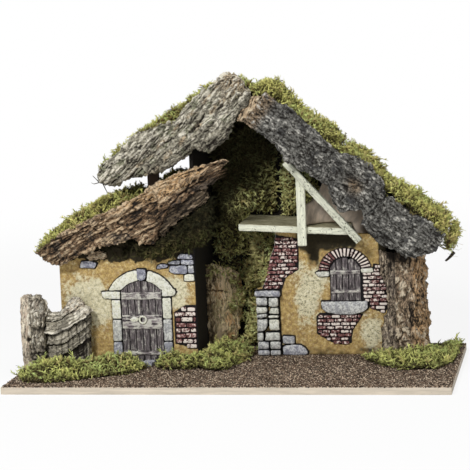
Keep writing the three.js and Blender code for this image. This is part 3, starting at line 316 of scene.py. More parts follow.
def add_piece(name, bm, material, nodes=(), smooth=True):
    """Makes an object of a finished bmesh that rides on the stable and stands for CAD nodes."""
    bmesh.ops.recalc_face_normals(bm, faces=bm.faces)
    for face in bm.faces:
        face.smooth = smooth
    mesh = finished_mesh(name, bm)
    mesh.materials.append(material)
    piece = bpy.data.objects.new(name, mesh)
    bpy.context.collection.objects.link(piece)
    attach(piece, "root")
    if nodes:
        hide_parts(*nodes)


def unit(value):
    """The value, held between 0 and 1."""
    return min(1.0, max(0.0, value))


def ramp(value, low, high):
    """0 at low and 1 at high, with a smooth change between."""
    share = unit((value - low) / (high - low))
    return share * share * (3 - 2 * share)


def add_grain(bm, turn):
    """Gives each vertex its grain coordinates: the grain lies along X after the turn, in degrees."""
    layer = bm.verts.layers.float_vector.new("grain")
    frame_turn = Matrix.Rotation(math.radians(turn), 3, "Y")
    for vert in bm.verts:
        vert[layer] = frame_turn @ vert.co
    return layer


# Bark

def bell(value, middle, half):
    """1 at the middle, falling away smoothly to both sides."""
    return math.exp(-((value - middle) / half) ** 2)


def stretched(place, along, across):
    """The place measured in features of a length along the grain and a width across it."""
    return Vector((place.x / along, place.y / across, place.z / across))


def craggy(place, grain, crack, ridge, fine, fold):
    """Bark height in millimetres, and its share of light: folds, broken ridges, long cracks, crumbs."""
    bent = noise.noise_vector(place / 12) * 0.5
    folds = noise.fractal(stretched(place, grain[0] * 2.2, grain[1] * 2.6), 0.9, 2.0, 2)
    ridges = min(1.0, noise.turbulence(stretched(place, *grain) + bent, 3, True) / 0.75)
    line = abs(noise.noise(stretched(place, grain[0] * 1.3, grain[1] * 1.2) + bent * 0.6)) / 0.10
    open_crack = max(0.0, 1 - line) * ramp(noise.noise(place / 19), -0.30, 0.05)
    crumbs = noise.fractal(place / 2.4, 0.6, 2.1, 2)
    height = fold * folds + ridge * (2 * ridges - 1) + fine * crumbs - crack * open_crack
    return height, (1 - open_crack) * unit(1.15 * ridges + 0.4 * folds + 0.3 * crumbs - 0.02)


def blocky(place, block, crack, step, fine):
    """Bark height and light of blocks between cracks, each standing at its own height, with coarse crumbs."""
    bent = noise.noise_vector(place / 7) * 0.45
    near, middles = noise.voronoi(stretched(place, *block) + bent)
    top = min(1.0, (near[1] - near[0]) / 0.34)
    own = noise.noise(middles[0] * 2.3)
    crumbs = noise.fractal(place / 3.0, 0.5, 2.1, 3)
    height = crack * (top - 1) + step * own * top + fine * crumbs
    return height, (0.1 + 0.9 * top) * unit(0.55 + 0.8 * crumbs + 0.4 * own)


def grey_relief(place):
    """Furrows that climb a little steeper than the slab, in painted shade towards the slab's lower edge."""
    slanted = Vector((place.x + 0.3 * place.z, place.y, place.z - 0.3 * place.x))
    height, light = craggy(slanted, (19, 3.3), crack=2.0, ridge=1.5, fine=1.1, fold=3.4)
    return height, light * (0.6 + 0.45 * ramp(place.z, 240, 270))


def dark_relief(place):
    """Blocks and furrows together, with painted highlights on broad lumps."""
    height, light = blocky(place, (9, 5.5), crack=1.1, step=1.6, fine=1.5)
    lumps = noise.fractal(place / 22, 0.9, 2.0, 2)
    furrows, furrow_light = craggy(place, (15, 4), crack=2.0, ridge=1.4, fine=0.8, fold=2.6)
    light = (0.45 * light + 0.55 * furrow_light) * (1 + 0.5 * lumps)
    return 0.7 * height + 0.7 * furrows + 3.2 * lumps, light


def brown_relief(place):
    """Long furrows round a sunken plate, which break into torn fibres at the slab's upper end; the plate and
    its grooves take painted shade, and the fibres painted light and shade of their own.
    """
    x, z = place.x, place.z
    height, light = craggy(place, (18, 3.6), crack=2.2, ridge=1.8, fine=1.2, fold=3.6)
    light = 1.1 * light - 0.08
    middle = 187 + 0.33 * (min(x, 60) + 10) + 2 * noise.noise(Vector((x / 9, 0, 5)))
    along = ramp(x, -14, 8) * (1 - ramp(x, 84, 96))
    sunken = bell(z, middle, 6) * along
    groove = max(bell(z, middle + 8, 1.5), 0.6 * bell(z, middle - 8, 1.1)) * along
    height += 1.5 * bell(z, middle + 12, 3) * along - 1.2 * sunken - 2.2 * groove
    # Painted shade on the sunken plate and in its grooves.
    light *= (1 - 0.55 * sunken) * (1 - 0.95 * groove)
    fibres = min(1.0, noise.turbulence(stretched(place, 30, 2.6), 2, True) / 0.55)
    torn = ramp(x, 74, 92)
    return height + torn * (7.5 * fibres - 6.8 - 0.6 * height), light + torn * (fibres * 1.35 - 0.35 - light)


def corner_relief(place):
    """Nearly flat, with one crack across in painted shade."""
    height, light = craggy(place, (42, 7), crack=0.2, ridge=0.5, fine=0.35, fold=1.0)
    line = place.x - 0.3 * (place.z - 28) - 2.5 * noise.noise(place / 4)
    split = bell(line, 79, 1.0) * ramp(place.z, 24, 27)
    return height - 2.0 * split, (0.45 + 0.55 * light) * (1 - split)


def chip_relief(place):
    """Short, shallow furrows."""
    return craggy(place, (13, 3), crack=1.0, ridge=1.2, fine=0.9, fold=0.9)


def trunk_relief(place):
    """Fine fissures on the left, a column of upright plates in the middle and a wavy rim on the right, with
    painted shade in the grooves and a painted shadow at the top under the roof bark.
    """
    across = -place.z + 6 * noise.noise(Vector((place.x / 15, 3.1, 0)))
    column = ramp(across, 173, 179)
    rim = ramp(across, 193, 196)
    fissures, fissure_light = craggy(place, (15, 3.8), crack=1.6, ridge=1.5, fine=1.0, fold=3.0)
    plates, plate_light = blocky(place, (15, 9.5), crack=3.4, step=2.6, fine=0.6)
    broken = ramp(noise.noise(place / 14), -0.3, 0.1)
    groove = 1.5 * (bell(across, 176, 1.3) + bell(across, 195, 1.4)) * broken
    height = fissures - 1.2 + column * (plates + 2.0 - fissures) + rim * (fissures - plates - 0.6) - groove
    light = fissure_light * 0.85 + (column - rim) * (0.15 + 1.5 * plate_light - fissure_light * 0.85)
    # Painted shadow at the trunk's top, under the dark roof bark.
    light *= 1 - 0.9 * ramp(place.x, 112, 124) * ramp(across, 165, 172) * (1 - ramp(across, 190, 196))
    return height, light * max(0.0, 1 - 0.55 * groove)


# Upper limits of the bent plate's layers over its sagging line, and how far each stands out, in millimetres
FENCE_LAYERS = ((99, 0.0), (66, 1.8), (50, 6.5), (37.5, 4.6), (22, 2.6), (-30, 1.6))


def fence_level(place):
    """Height over the line that the plate's layers follow: low at the left third, rising to the right."""
    x, z = -place.z, place.x
    beyond = x + 213
    sag = 2 * (max(0.0, -beyond) / 12) ** 1.5 + 6.5 * (max(0.0, beyond) / 18) ** 1.5
    return z - sag + 2.2 * noise.noise(Vector((x / 9, z / 12, 0)))


def fence_flow(place):
    """Grain coordinates that follow the plate's layers."""
    return Vector((-place.z, place.y, fence_level(place)))


def plated_relief(place):
    """Layers that lap downwards over each other, the low ones split by upright cracks, with painted shadow
    under each lip and in the splits and painted highlights on the proud lips.
    """
    level = min(98.9, fence_level(place))
    layer = next(i for i, (limit, _) in enumerate(FENCE_LAYERS[1:]) if level > limit)
    (top, _), (lip, proud) = FENCE_LAYERS[layer], FENCE_LAYERS[layer + 1]
    share = (level - lip) / (top - lip)
    x, z = -place.z, place.x
    near = noise.voronoi(Vector((x / 9 + layer * 3.7, level / 60, layer * 5.1)))[0]
    split = (1 - min(1.0, (near[1] - near[0]) / 0.16)) * (1.0 if layer > 1 else 0.35)
    lines = noise.noise(Vector((x / 24, level / 1.8, layer)))
    crumbs = noise.fractal(place / 2.6, 0.6, 2.1, 2)
    peak = ramp(x, -198, -190) * ramp(z, 72, 80)
    bulge = 2.2 * noise.noise(Vector((x / 13, z / 17, 4)))
    coarse = (0.5 + 1.4 * peak) * crumbs
    height = proud * (1 - share) ** 1.3 - 2.0 - 1.6 * split + 0.5 * lines + coarse + bulge
    flecks = min(1.0, max(0.1, 0.62 + 0.8 * lines + 0.3 * crumbs))
    # Painted shadow under the next lip and in the splits, the low layers a little darker, and painted
    # highlights along the proud lips; the worn peak is lighter.
    light = (1 - ramp(share, 0.80, 0.97)) * (1 - 0.9 * split) * flecks
    edge = bell(share, 0.04, 0.14) * (proud > 4)
    return height, min(1.0, light * (1 - 0.25 * (layer > 1)) + 0.4 * edge + 0.5 * peak * (0.5 + crumbs))


def stump_relief(place):
    """A smooth cut face on the left, a knob at the top, a waist with a hole and blocks at the foot, with
    painted shade in the waist, over the knob, along a crack and in the hole.
    """
    x, z = -place.z, place.x
    height, light = craggy(place, (8, 5), crack=1.4, ridge=1.7, fine=1.3, fold=2.0)
    blocks, block_light = blocky(place, (12, 9), crack=2.6, step=2.0, fine=1.2)
    low = 1 - ramp(z, 36, 42)
    rough = ramp(x, -241.5 + 1.5 * noise.noise(Vector((z / 9, 0, 0))), -238.5)
    height, light = height + low * (blocks - height), light + low * (0.55 * block_light - light)
    knob = 5.5 * bell(x, -231, 7) * bell(z, 77, 12)
    waist = -4.5 * bell(z, 56, 7) * ramp(x, -240, -232)
    # Painted shade in the waist, over the knob, along a crack and in the hole.
    light *= 1 - 0.9 * bell(z, 57, 4.5) * ramp(x, -240, -234) - 0.5 * bell(z, 90, 3) * bell(x, -228, 4)
    light *= 1 - 0.8 * bell(z, 29 + 0.1 * (x + 230), 1.2) * rough
    hole = bell(x, -240.5, 4.0) * bell(z, 44.7, 3.0)
    light = 0.58 + rough * (0.05 + 0.95 * light - 0.58)
    return height * (0.2 + 0.8 * rough) + knob + waist - 5 * hole, light * (1 - min(1.0, 1.3 * hole))


def bark_piece(name, relief, turn, material, cell, tint_and_shade=None, flow=None, ragged=2.2):
    """A bark slab: its node's shape on an even grid, with a relief in grain coordinates and torn edges."""
    noise.seed_set(NOISE_SEED)
    bm = even_grid(node_shape(name), cell)
    grain = add_grain(bm, turn)
    depth = bm.verts.layers.float.new("depth")
    tinted = bm.verts.layers.float.new("tint_and_shade")
    moves = []
    for vert in bm.verts:
        place = vert[grain] / MM
        height, light = relief(place)
        # The relief's light share, kept as depth: painted highlights on the ridges and painted shade in
        # cracks and hollows.
        vert[depth] = light
        vert[tinted] = tint_and_shade(place) if tint_and_shade else 0.0
        if flow:
            vert[grain] = flow(place) * MM
        rim = 1 - ramp(abs(vert.normal.y), 0.55, 0.95)
        tear = noise.noise_vector(place / 6.0) + noise.noise_vector(place / 2.6) * 0.6
        lift = (height - 0.3) * (1 - 0.75 * rim * (height < 0.3))
        moves.append((vert.normal * lift + tear * ragged * rim) * MM)
    for vert, move in zip(bm.verts, moves):
        vert.co += move
    add_piece(name + "_dressed", bm, material, (name,))


def bark_material(name, body, crack, light, tint_and_shade=None, patch=None, stretch=2.6, contrast=1.0):
    """Bark: mottled body, pale flakes and painted highlights on the ridges, painted shade in the hollows and
    cracks, hair cracks, a tinted part, patches.
    """
    shader = Shader(name)
    depth = shader.attribute("depth")
    bent = shader.warped(shader.grain(stretch), 0.006, 0.003)
    fibres = shader.noise(0.0021, 5.0, bent, 0.7)
    hairs = shader.noise(0.0050, 3.0, bent, 0.6)
    crumbs = shader.noise(0.0026, 6.0, None, 0.8)
    cloud = shader.noise(0.016, 3.0)
    mottle = (crumbs * 0.5 + fibres * 0.5).between(0.41, 0.59)
    face = shader.mix(mottle, scaled(body, 1 - 0.5 * contrast), scaled(body, 1 + 0.35 * contrast))
    if patch:
        face = shader.mix(cloud.between(0.53, 0.61) * 0.75, face, patch)
    if tint_and_shade:
        # The tinted part: a real colour on most barks, painted shade on the plate in the cave's corner.
        tint_and_shade_share = shader.attribute("tint_and_shade") * crumbs.between(0.30, 0.55)
        tint_and_shade_face = shader.mix(fibres.between(0.40, 0.62), scaled(tint_and_shade, 0.6), scaled(tint_and_shade, 1.2))
        face = shader.mix(tint_and_shade_share, face, tint_and_shade_face)
    # Pale flakes along the fibres, and painted highlights where the relief's light share is high.
    face = shader.mix((fibres * 0.6 + depth * 0.5).between(0.56, 0.80), face, light)
    # Painted shade: the crack colour where the relief's light share is low.
    face = shader.mix(depth.between(0.42, 0.03), face, crack)
    line = hairs.between(0.450, 0.5) * hairs.between(0.550, 0.5) * crumbs.between(0.62, 0.46)
    face = shader.mix(line * 0.85 * contrast, face, scaled(crack, 1.6))
    return shader.finish(face, 0.92, fibres + crumbs - line * 0.4, 0.0014)


# Torn fibres at the annex slab's upper end, every fifth of them a thicker spike
SPLINTERS = 54
# Limits of the reach, thickness and place in grain millimetres, of the tilt in degrees, and of the light
SPIKE = ((7, 13), (0.9, 1.6), (50, 82), (-34, -24), (219, 229), (-55, -10), (0.6, 1.0))
FIBRE = ((9, 18), (0.35, 0.8), (80, 94), (-28, -8), (207, 223), (-18, 12), (0.0, 0.5))


class STABLE_OT_roof_bark(Operator):
    """Dress the bark slabs and chips along the roofs' fronts."""
    bl_idname = "stable.roof_bark"
    bl_label = "Roof bark"

    def execute(self, context):
        tones = context.scene.stable_colours
        cell = context.scene.stable_sizes.bark_cell
        crack = tones.crack
        grey = bark_material(
            "grey_bark", tones.grey_bark, crack, light=(0.80, 0.75, 0.62), tint_and_shade=(0.70, 0.54, 0.35),
            patch=(0.26, 0.27, 0.17))
        dark = bark_material(
            "charcoal_bark", tones.dark_bark, scaled(crack, 0.6), light=(0.60, 0.58, 0.52),
            tint_and_shade=(0.40, 0.29, 0.18), patch=(0.055, 0.055, 0.055), stretch=2.2, contrast=1.3)
        brown = bark_material(
            "brown_bark", tones.brown_bark, crack, light=(0.70, 0.53, 0.34), tint_and_shade=(0.78, 0.51, 0.26),
            patch=(0.15, 0.125, 0.10))
        splint = bark_material(
            "splint_bark", (0.13, 0.095, 0.06), crack, light=(0.44, 0.34, 0.23), stretch=6.0)
        pale = bark_material(
            "pale_chip", (0.60, 0.45, 0.29), crack, light=(0.80, 0.68, 0.48), stretch=4.0, contrast=0.6)
        bark_piece("grey_roof_bark", grey_relief, LEFT_SLOPE, grey, cell, self.grey_tint)
        bark_piece("annex_roof_bark", brown_relief, ANNEX_SLOPE, brown, cell, self.brown_tint)
        bark_piece("annex_roof_splint", brown_relief, ANNEX_SLOPE, splint, cell)
        for part in ("upper", "middle", "lower"):
            name = f"dark_roof_bark_{part}"
            bark_piece(name, dark_relief, RIGHT_SLOPE, dark, cell, self.dark_tint)
        bark_piece("ridge_bark_chip", chip_relief, 55, pale, cell)
        bark_piece("eave_bark_chip", chip_relief, 12, pale, cell)
        self.splinters(brown)
        return {"FINISHED"}

    @staticmethod
    def grey_tint(place):
        """Tan streaks along two ridges, and the tan end at the roof's top."""
        line = place.z - 262 - 0.25 * (place.x - 78) - 4 * noise.noise(Vector((place.x / 25, 0, 0)))
        broken = ramp(noise.noise(Vector((place.x / 12, 7, 0))), -0.2, 0.2)
        streak = max(bell(line, 0, 2.2), bell(line, 15, 1.8)) * broken
        return min(1.0, streak + 0.8 * ramp(place.x, 135, 160) * ramp(place.z, 268, 280))

    @staticmethod
    def brown_tint(place):
        """The orange torn edge along the slab's top, with a painted highlight where that edge catches the
        light, and pale fibres at its upper end.
        """
        edge = place.z - 5 * noise.noise(Vector((place.x / 18, 0, 2))) + 5 * ramp(place.x, -10, 40)
        return 0.9 * ramp(edge, 219, 226) * ramp(place.x, -75, 5) * (1 - 0.9 * ramp(place.x, 74, 86))

    @staticmethod
    def dark_tint(place):
        """Brown wood at the slab's upper end and in one worn patch."""
        worn = bell(place.x, -19, 9) * bell(place.z, 251, 7)
        return min(1.0, ramp(-place.x, 142, 156) + worn)

    @staticmethod
    def splinters(material):
        """Torn fibres and spikes that stick out of the annex slab's upper end."""
        rng = random.Random(12)
        bm = bmesh.new()
        grain = bm.verts.layers.float_vector.new("grain")
        depth = bm.verts.layers.float.new("depth")
        bm.verts.layers.float.new("tint_and_shade")
        along = Matrix.Rotation(math.radians(ANNEX_SLOPE), 3, "Y")
        back = Matrix.Rotation(math.radians(-ANNEX_SLOPE), 3, "Y")
        for i in range(SPLINTERS):
            limits = SPIKE if i % 5 == 0 else FIBRE
            reach, thick, *foot, tilt, light = (rng.uniform(low, high) for low, high in limits)
            made = bmesh.ops.create_cone(
                bm, cap_ends=True, segments=5, radius1=thick * MM, radius2=0.12 * MM,
                depth=reach * MM)["verts"]
            tilted = Matrix.Rotation(math.radians(90 - ANNEX_SLOPE + tilt), 4, "Y")
            stand = Matrix.Translation(back @ Vector(foot) * MM) @ tilted
            bmesh.ops.transform(bm, verts=made, matrix=stand)
            for vert in made:
                vert[grain] = along @ vert.co
                vert[depth] = light
        add_piece("annex_bark_splinters", bm, material, smooth=False)


class STABLE_OT_standing_bark(Operator):
    """Dress the trunk, the fence, the plate in the cave's corner and the loft's inner bark."""
    bl_idname = "stable.standing_bark"
    bl_label = "Standing bark"

    def execute(self, context):
        tones = context.scene.stable_colours
        cell = context.scene.stable_sizes.bark_cell
        crack = tones.crack
        trunk = bark_material(
            "trunk_bark", tones.trunk_bark, crack, light=(0.78, 0.66, 0.49), tint_and_shade=(0.80, 0.50, 0.25),
            patch=(0.20, 0.16, 0.13), contrast=1.15)
        fence = bark_material(
            "fence_bark", tones.fence_bark, crack, light=(0.92, 0.86, 0.72), tint_and_shade=(0.95, 0.74, 0.57),
            patch=(0.22, 0.20, 0.16), stretch=6.0, contrast=0.9)
        # The cave bark's tint is painted shade, dark where the plate runs behind the annex and under the
        # moss.
        corner = bark_material(
            "cave_bark", tones.corner_bark, scaled(crack, 2), light=(1.0, 0.80, 0.52),
            tint_and_shade=(0.075, 0.050, 0.028), patch=(0.80, 0.46, 0.21), stretch=5.0, contrast=0.9)
        bark_piece("trunk_bark", trunk_relief, 90, trunk, cell, self.trunk_tint)
        bark_piece(
            "fence_stump_bark", stump_relief, 90, fence, cell, self.stump_tint, ragged=0.8)
        bark_piece(
            "fence_curved_bark", plated_relief, 90, fence, cell, self.peak_tint,
            flow=fence_flow, ragged=1.6)
        bark_piece("cave_corner_bark", corner_relief, 90, corner, cell, self.corner_gloom)
        self.inner_bark(tones.inner_bark, cell)
        return {"FINISHED"}

    @staticmethod
    def trunk_tint(place):
        """Lighter plates in the middle, orange along the right rim."""
        worn = bell(-place.z, 203, 6) * max(bell(place.x, 36, 16), 0.9 * bell(place.x, 112, 18))
        return min(1.0, 0.25 * ramp(-place.z, 175, 179) + 0.6 * ramp(-place.z, 193, 200) + 0.6 * worn)

    @staticmethod
    def stump_tint(place):
        """The smooth cut face."""
        return 1 - 0.75 * ramp(-place.z, -241, -237)

    @staticmethod
    def peak_tint(place):
        """The bent plate's worn peak."""
        return 0.7 * ramp(-place.z, -204, -196) * ramp(place.x, 70, 79)

    @staticmethod
    def corner_gloom(place):
        """Painted shade where the plate runs behind the annex and under the moss."""
        return min(1.0, 1 - ramp(-place.z, -47, -32) + 0.8 * ramp(place.x, 80, 104))

    @staticmethod
    def inner_bark(body, cell):
        """The smooth sheet behind the rafter, with shallow ripples."""
        shader = Shader("inner_bark")
        ripples = shader.noise(0.012, 4.0, shader.grain(2.5))
        face = shader.mix(ripples.between(0.35, 0.7), scaled(body, 0.6), scaled(body, 1.35))
        material = shader.finish(face, 0.8, ripples, 0.0012)
        bm = even_grid(node_shape("loft_bark"), cell * 2)
        add_grain(bm, 60)
        add_piece("loft_bark_dressed", bm, material, ("loft_bark",))


# Moss

ROOF_MOSS = (
    "annex_roof_moss", "roof_gap_moss", "main_roof_moss_left", "main_roof_moss_upper", "main_roof_moss_lower",
    "roof_end_moss",
)
CAVE_MOSS = ("cave_moss_upper", "cave_moss_middle", "cave_moss_low", "loft_moss")
EAVE_MOSS = ("annex_eave_moss",)
YARD_MOSS = ("ground_moss_left", "ground_moss_centre", "ground_moss_right", "ground_moss_corner")
# Barks with tufts on their upper edge, and how far to the right these grow, in metres
TUFTED_BARK = {
    "grey_roof_bark": -0.020, "annex_roof_bark": -0.112,
    "dark_roof_bark_middle": 0.3, "dark_roof_bark_lower": 0.3,
}
# How much darker the moss is where it hangs in the shade
SHADED_MOSS = {
    "main_roof_moss_left": 0.12, "main_roof_moss_upper": 0.07, "cave_moss_middle": -0.32, "loft_moss": -0.1,
}
# How far the moss thins out between its tufts, in millimetres
THIN_MOSS = {
    "main_roof_moss_left": 5.0, "main_roof_moss_lower": 2.0, "main_roof_moss_upper": 2.0,
    "annex_roof_moss": 2.5,
    "ground_moss_left": 3.0, "ground_moss_centre": 3.0, "ground_moss_right": 3.5, "ground_moss_corner": 4.0,
}
LARGE_MOSS = (
    "main_roof_moss_left", "main_roof_moss_lower", "main_roof_moss_upper", "annex_roof_moss",
    "cave_moss_upper",
)
# Distance from shoot to shoot as a share of a shoot's length: on a large piece, on another, in tufts
LARGE_SPACING, SPACING, TUFT_SPACING = 0.257, 0.23, 0.3
SHOOT_SHAPES = 6
# How often a shoot is a long one, and how much longer it is
LONG_SHARE, LONG_SHOOT = 0.035, 1.6
# How far the shoots may pass the frame's rear, in metres
REAR_ROOM = 0.0065
CLUMP = 11 * MM


def copies_bmesh():
    """An empty bmesh that takes copies of a small shape, each with its own shade."""
    bm = bmesh.new()
    bm.verts.layers.float.new("tip")
    bm.verts.layers.float.new("shade")
    return bm


def moss_shoot(rng):
    """One shoot of unit length along Z: a bent three-sided stem with pointed leaves all round."""
    bm = copies_bmesh()
    bmesh.ops.create_cone(bm, segments=3, radius1=0.045, radius2=0.012, depth=1)
    bmesh.ops.translate(bm, verts=bm.verts, vec=(0, 0, 0.5))
    everything = bm.verts[:] + bm.edges[:] + bm.faces[:]
    bmesh.ops.bisect_plane(bm, geom=everything, plane_co=(0, 0, 0.55), plane_no=(0, 0, 1))
    leaves = 6
    for i in range(leaves):
        reach = 0.36 * rng.uniform(0.7, 1.2)
        made = bmesh.ops.create_cone(bm, segments=3, radius1=0.075, depth=reach)["verts"]
        tilt = Matrix.Rotation(rng.uniform(0.5, 1.0), 4, "X")
        turn = Matrix.Rotation(i * 2.4 + rng.uniform(-0.4, 0.4), 4, "Z")
        foot = Matrix.Translation((0, 0, 0.2 + 0.75 * i / leaves))
        bmesh.ops.transform(bm, verts=made, matrix=foot @ turn @ tilt @ Matrix.Translation((0, 0, 0.16)))
    bend = rng.uniform(0.25, 0.6)
    side = rng.uniform(-0.25, 0.25)
    tip = bm.verts.layers.float["tip"]
    for vert in bm.verts:
        rise = vert.co.z
        vert[tip] = unit(rise)
        vert.co += Vector((bend * rise * rise, side * math.sin(rise * 4), -0.35 * bend * rise * rise))
    return finished_mesh("moss_shoot", bm)


def add_copy(bm, shape, place, shade):
    """Adds a small shape at a place, given as a matrix, with a shade of its own."""
    for item in shape.attributes["shade"].data:
        item.value = shade
    shape.transform(place)
    bm.from_mesh(shape)
    shape.transform(place.inverted())


def neighbours_tree(skipped):
    """A search tree of every node's shape apart from the skipped one."""
    points, faces = [], []
    for name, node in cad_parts.items():
        if name != skipped:
            start = len(points)
            points.extend(vert.co.copy() for vert in node.data.vertices)
            faces.extend([start + i for i in polygon.vertices] for polygon in node.data.polygons)
    return BVHTree.FromPolygons(points, faces)


def surface_spots(bm, spacing, rng):
    """Random spots on a surface, one for each square of a spacing, as position and normal."""
    spots = []
    for face in bm.faces:
        expected = face.calc_area() / spacing ** 2
        for _ in range(int(expected) + (rng.random() < expected % 1)):
            corners = [vert.co for vert in face.verts]
            shares = [rng.random() for _ in corners]
            total = sum(shares)
            spot = sum((corner * share / total for corner, share in zip(corners, shares)), Vector())
            spots.append((spot, face.normal.copy()))
    return spots


def clump(place):
    """How far a place is from the edge of its clump, from 0 to 1, and its way out from the clump's middle."""
    near, middles = noise.voronoi(place / CLUMP)
    return min(1.0, (near[1] - near[0]) / 0.5), place / CLUMP - middles[0]


class STABLE_OT_moss(Operator):
    """Grow shoots of moss on a dark mat over every moss node, and tufts along the barks' upper edges."""
    bl_idname = "stable.moss"
    bl_label = "Moss"

    def execute(self, context):
        tones = context.scene.stable_colours
        sizes = context.scene.stable_sizes
        self.rng = random.Random(5)
        self.usual = sizes.shoot
        self.rear = CAD_BOX[1][1] + REAR_ROOM
        self.shapes = [moss_shoot(self.rng) for _ in range(SHOOT_SHAPES)]
        bed = self.bed_material(tones.moss_bed)
        roof = self.shoot_material("roof_moss", tones.moss_tip, tones.moss_body)
        yard = self.shoot_material("yard_moss", tones.yard_moss_tip, tones.yard_moss_body)
        # The cave's moss is the roof moss painted lighter, with painted shade where the gloom falls.
        cave = self.shoot_material("cave_moss", (1.0, 0.98, 0.42), scaled(tones.moss_body, 1.5), self.gloom)
        # The eave's moss is the roof moss darkened, painted shade under the annex slab.
        eave = self.shoot_material(
            "eave_moss", scaled(tones.moss_tip, 0.4), scaled(tones.moss_body, 0.3), self.eave_gloom)
        for names, shoots in ((ROOF_MOSS, roof), (CAVE_MOSS, cave), (EAVE_MOSS, eave), (YARD_MOSS, yard)):
            for name in names:
                mat = self.mat_shape(name, sizes.moss_cell)
                spacing = self.usual * (LARGE_SPACING if name in LARGE_MOSS else SPACING)
                spots = surface_spots(mat, spacing, self.rng)
                add_piece(name + "_mat", mat, bed, (name,))
                self.grow(name, spots, shoots)
        for name, limit in TUFTED_BARK.items():
            self.tuft(name, roof, lambda spot, normal: self.on_upper_edge(spot, normal, limit))
        self.tuft("cave_corner_bark", cave, self.on_corner_plate)
        self.tuft("back_panel", cave, self.behind_corner_plate)
        self.tuft("annex_facade", eave, self.under_eave)
        return {"FINISHED"}

    @staticmethod
    def on_upper_edge(spot, normal, limit):
        """Scattered along the top of a roof's bark."""
        return normal.z > 0.5 and spot.x < limit and noise.noise(spot / (17 * MM)) > 0.04

    @staticmethod
    def on_corner_plate(spot, normal):
        """Along the upper and the right rim of the bark in the cave's corner."""
        rim = 70 * max(spot.z - 0.098, spot.x + 0.022)
        return normal.y < 0 and noise.noise(spot / (15 * MM)) < rim

    @staticmethod
    def behind_corner_plate(spot, normal):
        """On the back panel, beside the plate."""
        return normal.y < -0.5 and -0.038 < spot.x < 0.012 and 0.05 < spot.z < 0.135

    @staticmethod
    def under_eave(spot, normal):
        """At the top of the annex front, down to a ragged line."""
        near = normal.y < -0.5 and spot.z > 0.130 and -0.160 < spot.x < -0.120
        return near and noise.noise(spot / (7 * MM)) > 60 * (0.135 - spot.z)

    @staticmethod
    def mat_shape(name, cell):
        """The node's shape, sunk a little and swelling in each clump, and low at the yard's right corner."""
        bm = even_grid(node_shape(name), cell)
        moves = []
        for vert in bm.verts:
            rise, _ = clump(vert.co)
            thin = THIN_MOSS.get(name, 0) * ramp(noise.noise(vert.co / (15 * MM)), 0.15, -0.25)
            thin *= ramp(vert.normal.z, 0.1, 0.5)
            moves.append(vert.normal * (3.0 * rise - 5.0 - thin + noise.noise(vert.co / (24 * MM))) * MM)
        for vert, move in zip(bm.verts, moves):
            vert.co += move
            if name in YARD_MOSS:
                low = 1 - 0.55 * ramp(vert.co.x, 0.205, 0.235)
                vert.co.z = max(6 * MM, GROUND * MM + (vert.co.z - GROUND * MM) * low)
        bm.normal_update()
        return bm

    def tuft(self, name, material, rule):
        """Grows shoots on a node's surface where a rule on the spot and its normal holds."""
        bm = node_shape(name)
        bm.normal_update()
        spots = surface_spots(bm, self.usual * TUFT_SPACING, self.rng)
        bm.free()
        self.grow(name, [(spot, normal) for spot, normal in spots if rule(spot, normal)], material)

    def grow(self, name, spots, material):
        """Stands a shoot on each spot that no other piece is close to, shorter at the rear."""
        rng = self.rng
        tree = neighbours_tree(name)
        bm = copies_bmesh()
        for spot, normal in spots:
            if spot.z < GROUND * MM or tree.ray_cast(spot, normal, 0.9 * self.usual)[0] is not None:
                continue
            rise, way_out = clump(spot)
            size = self.usual * (0.5 + 0.6 * rise) * rng.uniform(0.7, 1.25)
            size *= LONG_SHOOT if rng.random() < LONG_SHARE else 1
            lean = Vector((rng.gauss(0, 0.4), rng.gauss(0, 0.4), rng.gauss(0, 0.4) + 0.2))
            ahead = (normal + way_out * 0.9 + lean).normalized()
            size = min(size, (self.rear - spot.y) / (max(0.0, ahead.y) + 0.6))
            upright = ahead.to_track_quat("Z", "Y").to_matrix().to_4x4()
            spin = Matrix.Rotation(rng.uniform(0, math.tau), 4, "Z")
            foot = Matrix.Translation(spot - normal * 0.0012)
            # Painted shade: a shoot's shade is low in the gaps between clumps and where SHADED_MOSS darkens
            # it, with some random spread.
            shade = 0.9 * rise + 0.25 * noise.noise(spot / (19 * MM)) + rng.gauss(0, 0.17)
            shade = unit(shade - SHADED_MOSS.get(name, 0))
            add_copy(bm, rng.choice(self.shapes), foot @ upright @ spin @ Matrix.Scale(size, 4), shade)
        add_piece(name + "_shoots", bm, material)

    @staticmethod
    def bed_material(body):
        """The fibrous dark mat under the shoots."""
        shader = Shader("moss_mat")
        fibres = shader.noise(0.002, 5.0, None, 0.7)
        face = shader.mix(fibres.between(0.4, 0.65), scaled(body, 0.4), scaled(body, 2.2))
        return shader.finish(face, 1.0, fibres, 0.002)

    @staticmethod
    def gloom(shader):
        """Share of painted shade: 1 under the roof's top and left of the cave's middle, 0 in the open part.
        """
        across, back, up = shader.axes()
        high = (up - across * 0.6).between(0.170, 0.250)
        left = across.between(0.0, -0.05) * up.between(0.12, 0.17)
        patches = shader.noise(0.022, 2.0).between(0.54, 0.36) * 0.4
        return (high + left + patches).between(0.0, 1.0) * back.between(0.02, 0.05)

    @staticmethod
    def eave_gloom(shader):
        """Deep shade under the annex slab, a little less along the moss's lower edge."""
        across, _, up = shader.axes()
        return (up - across * 0.3).between(0.164, 0.184) * 0.36 + 0.72

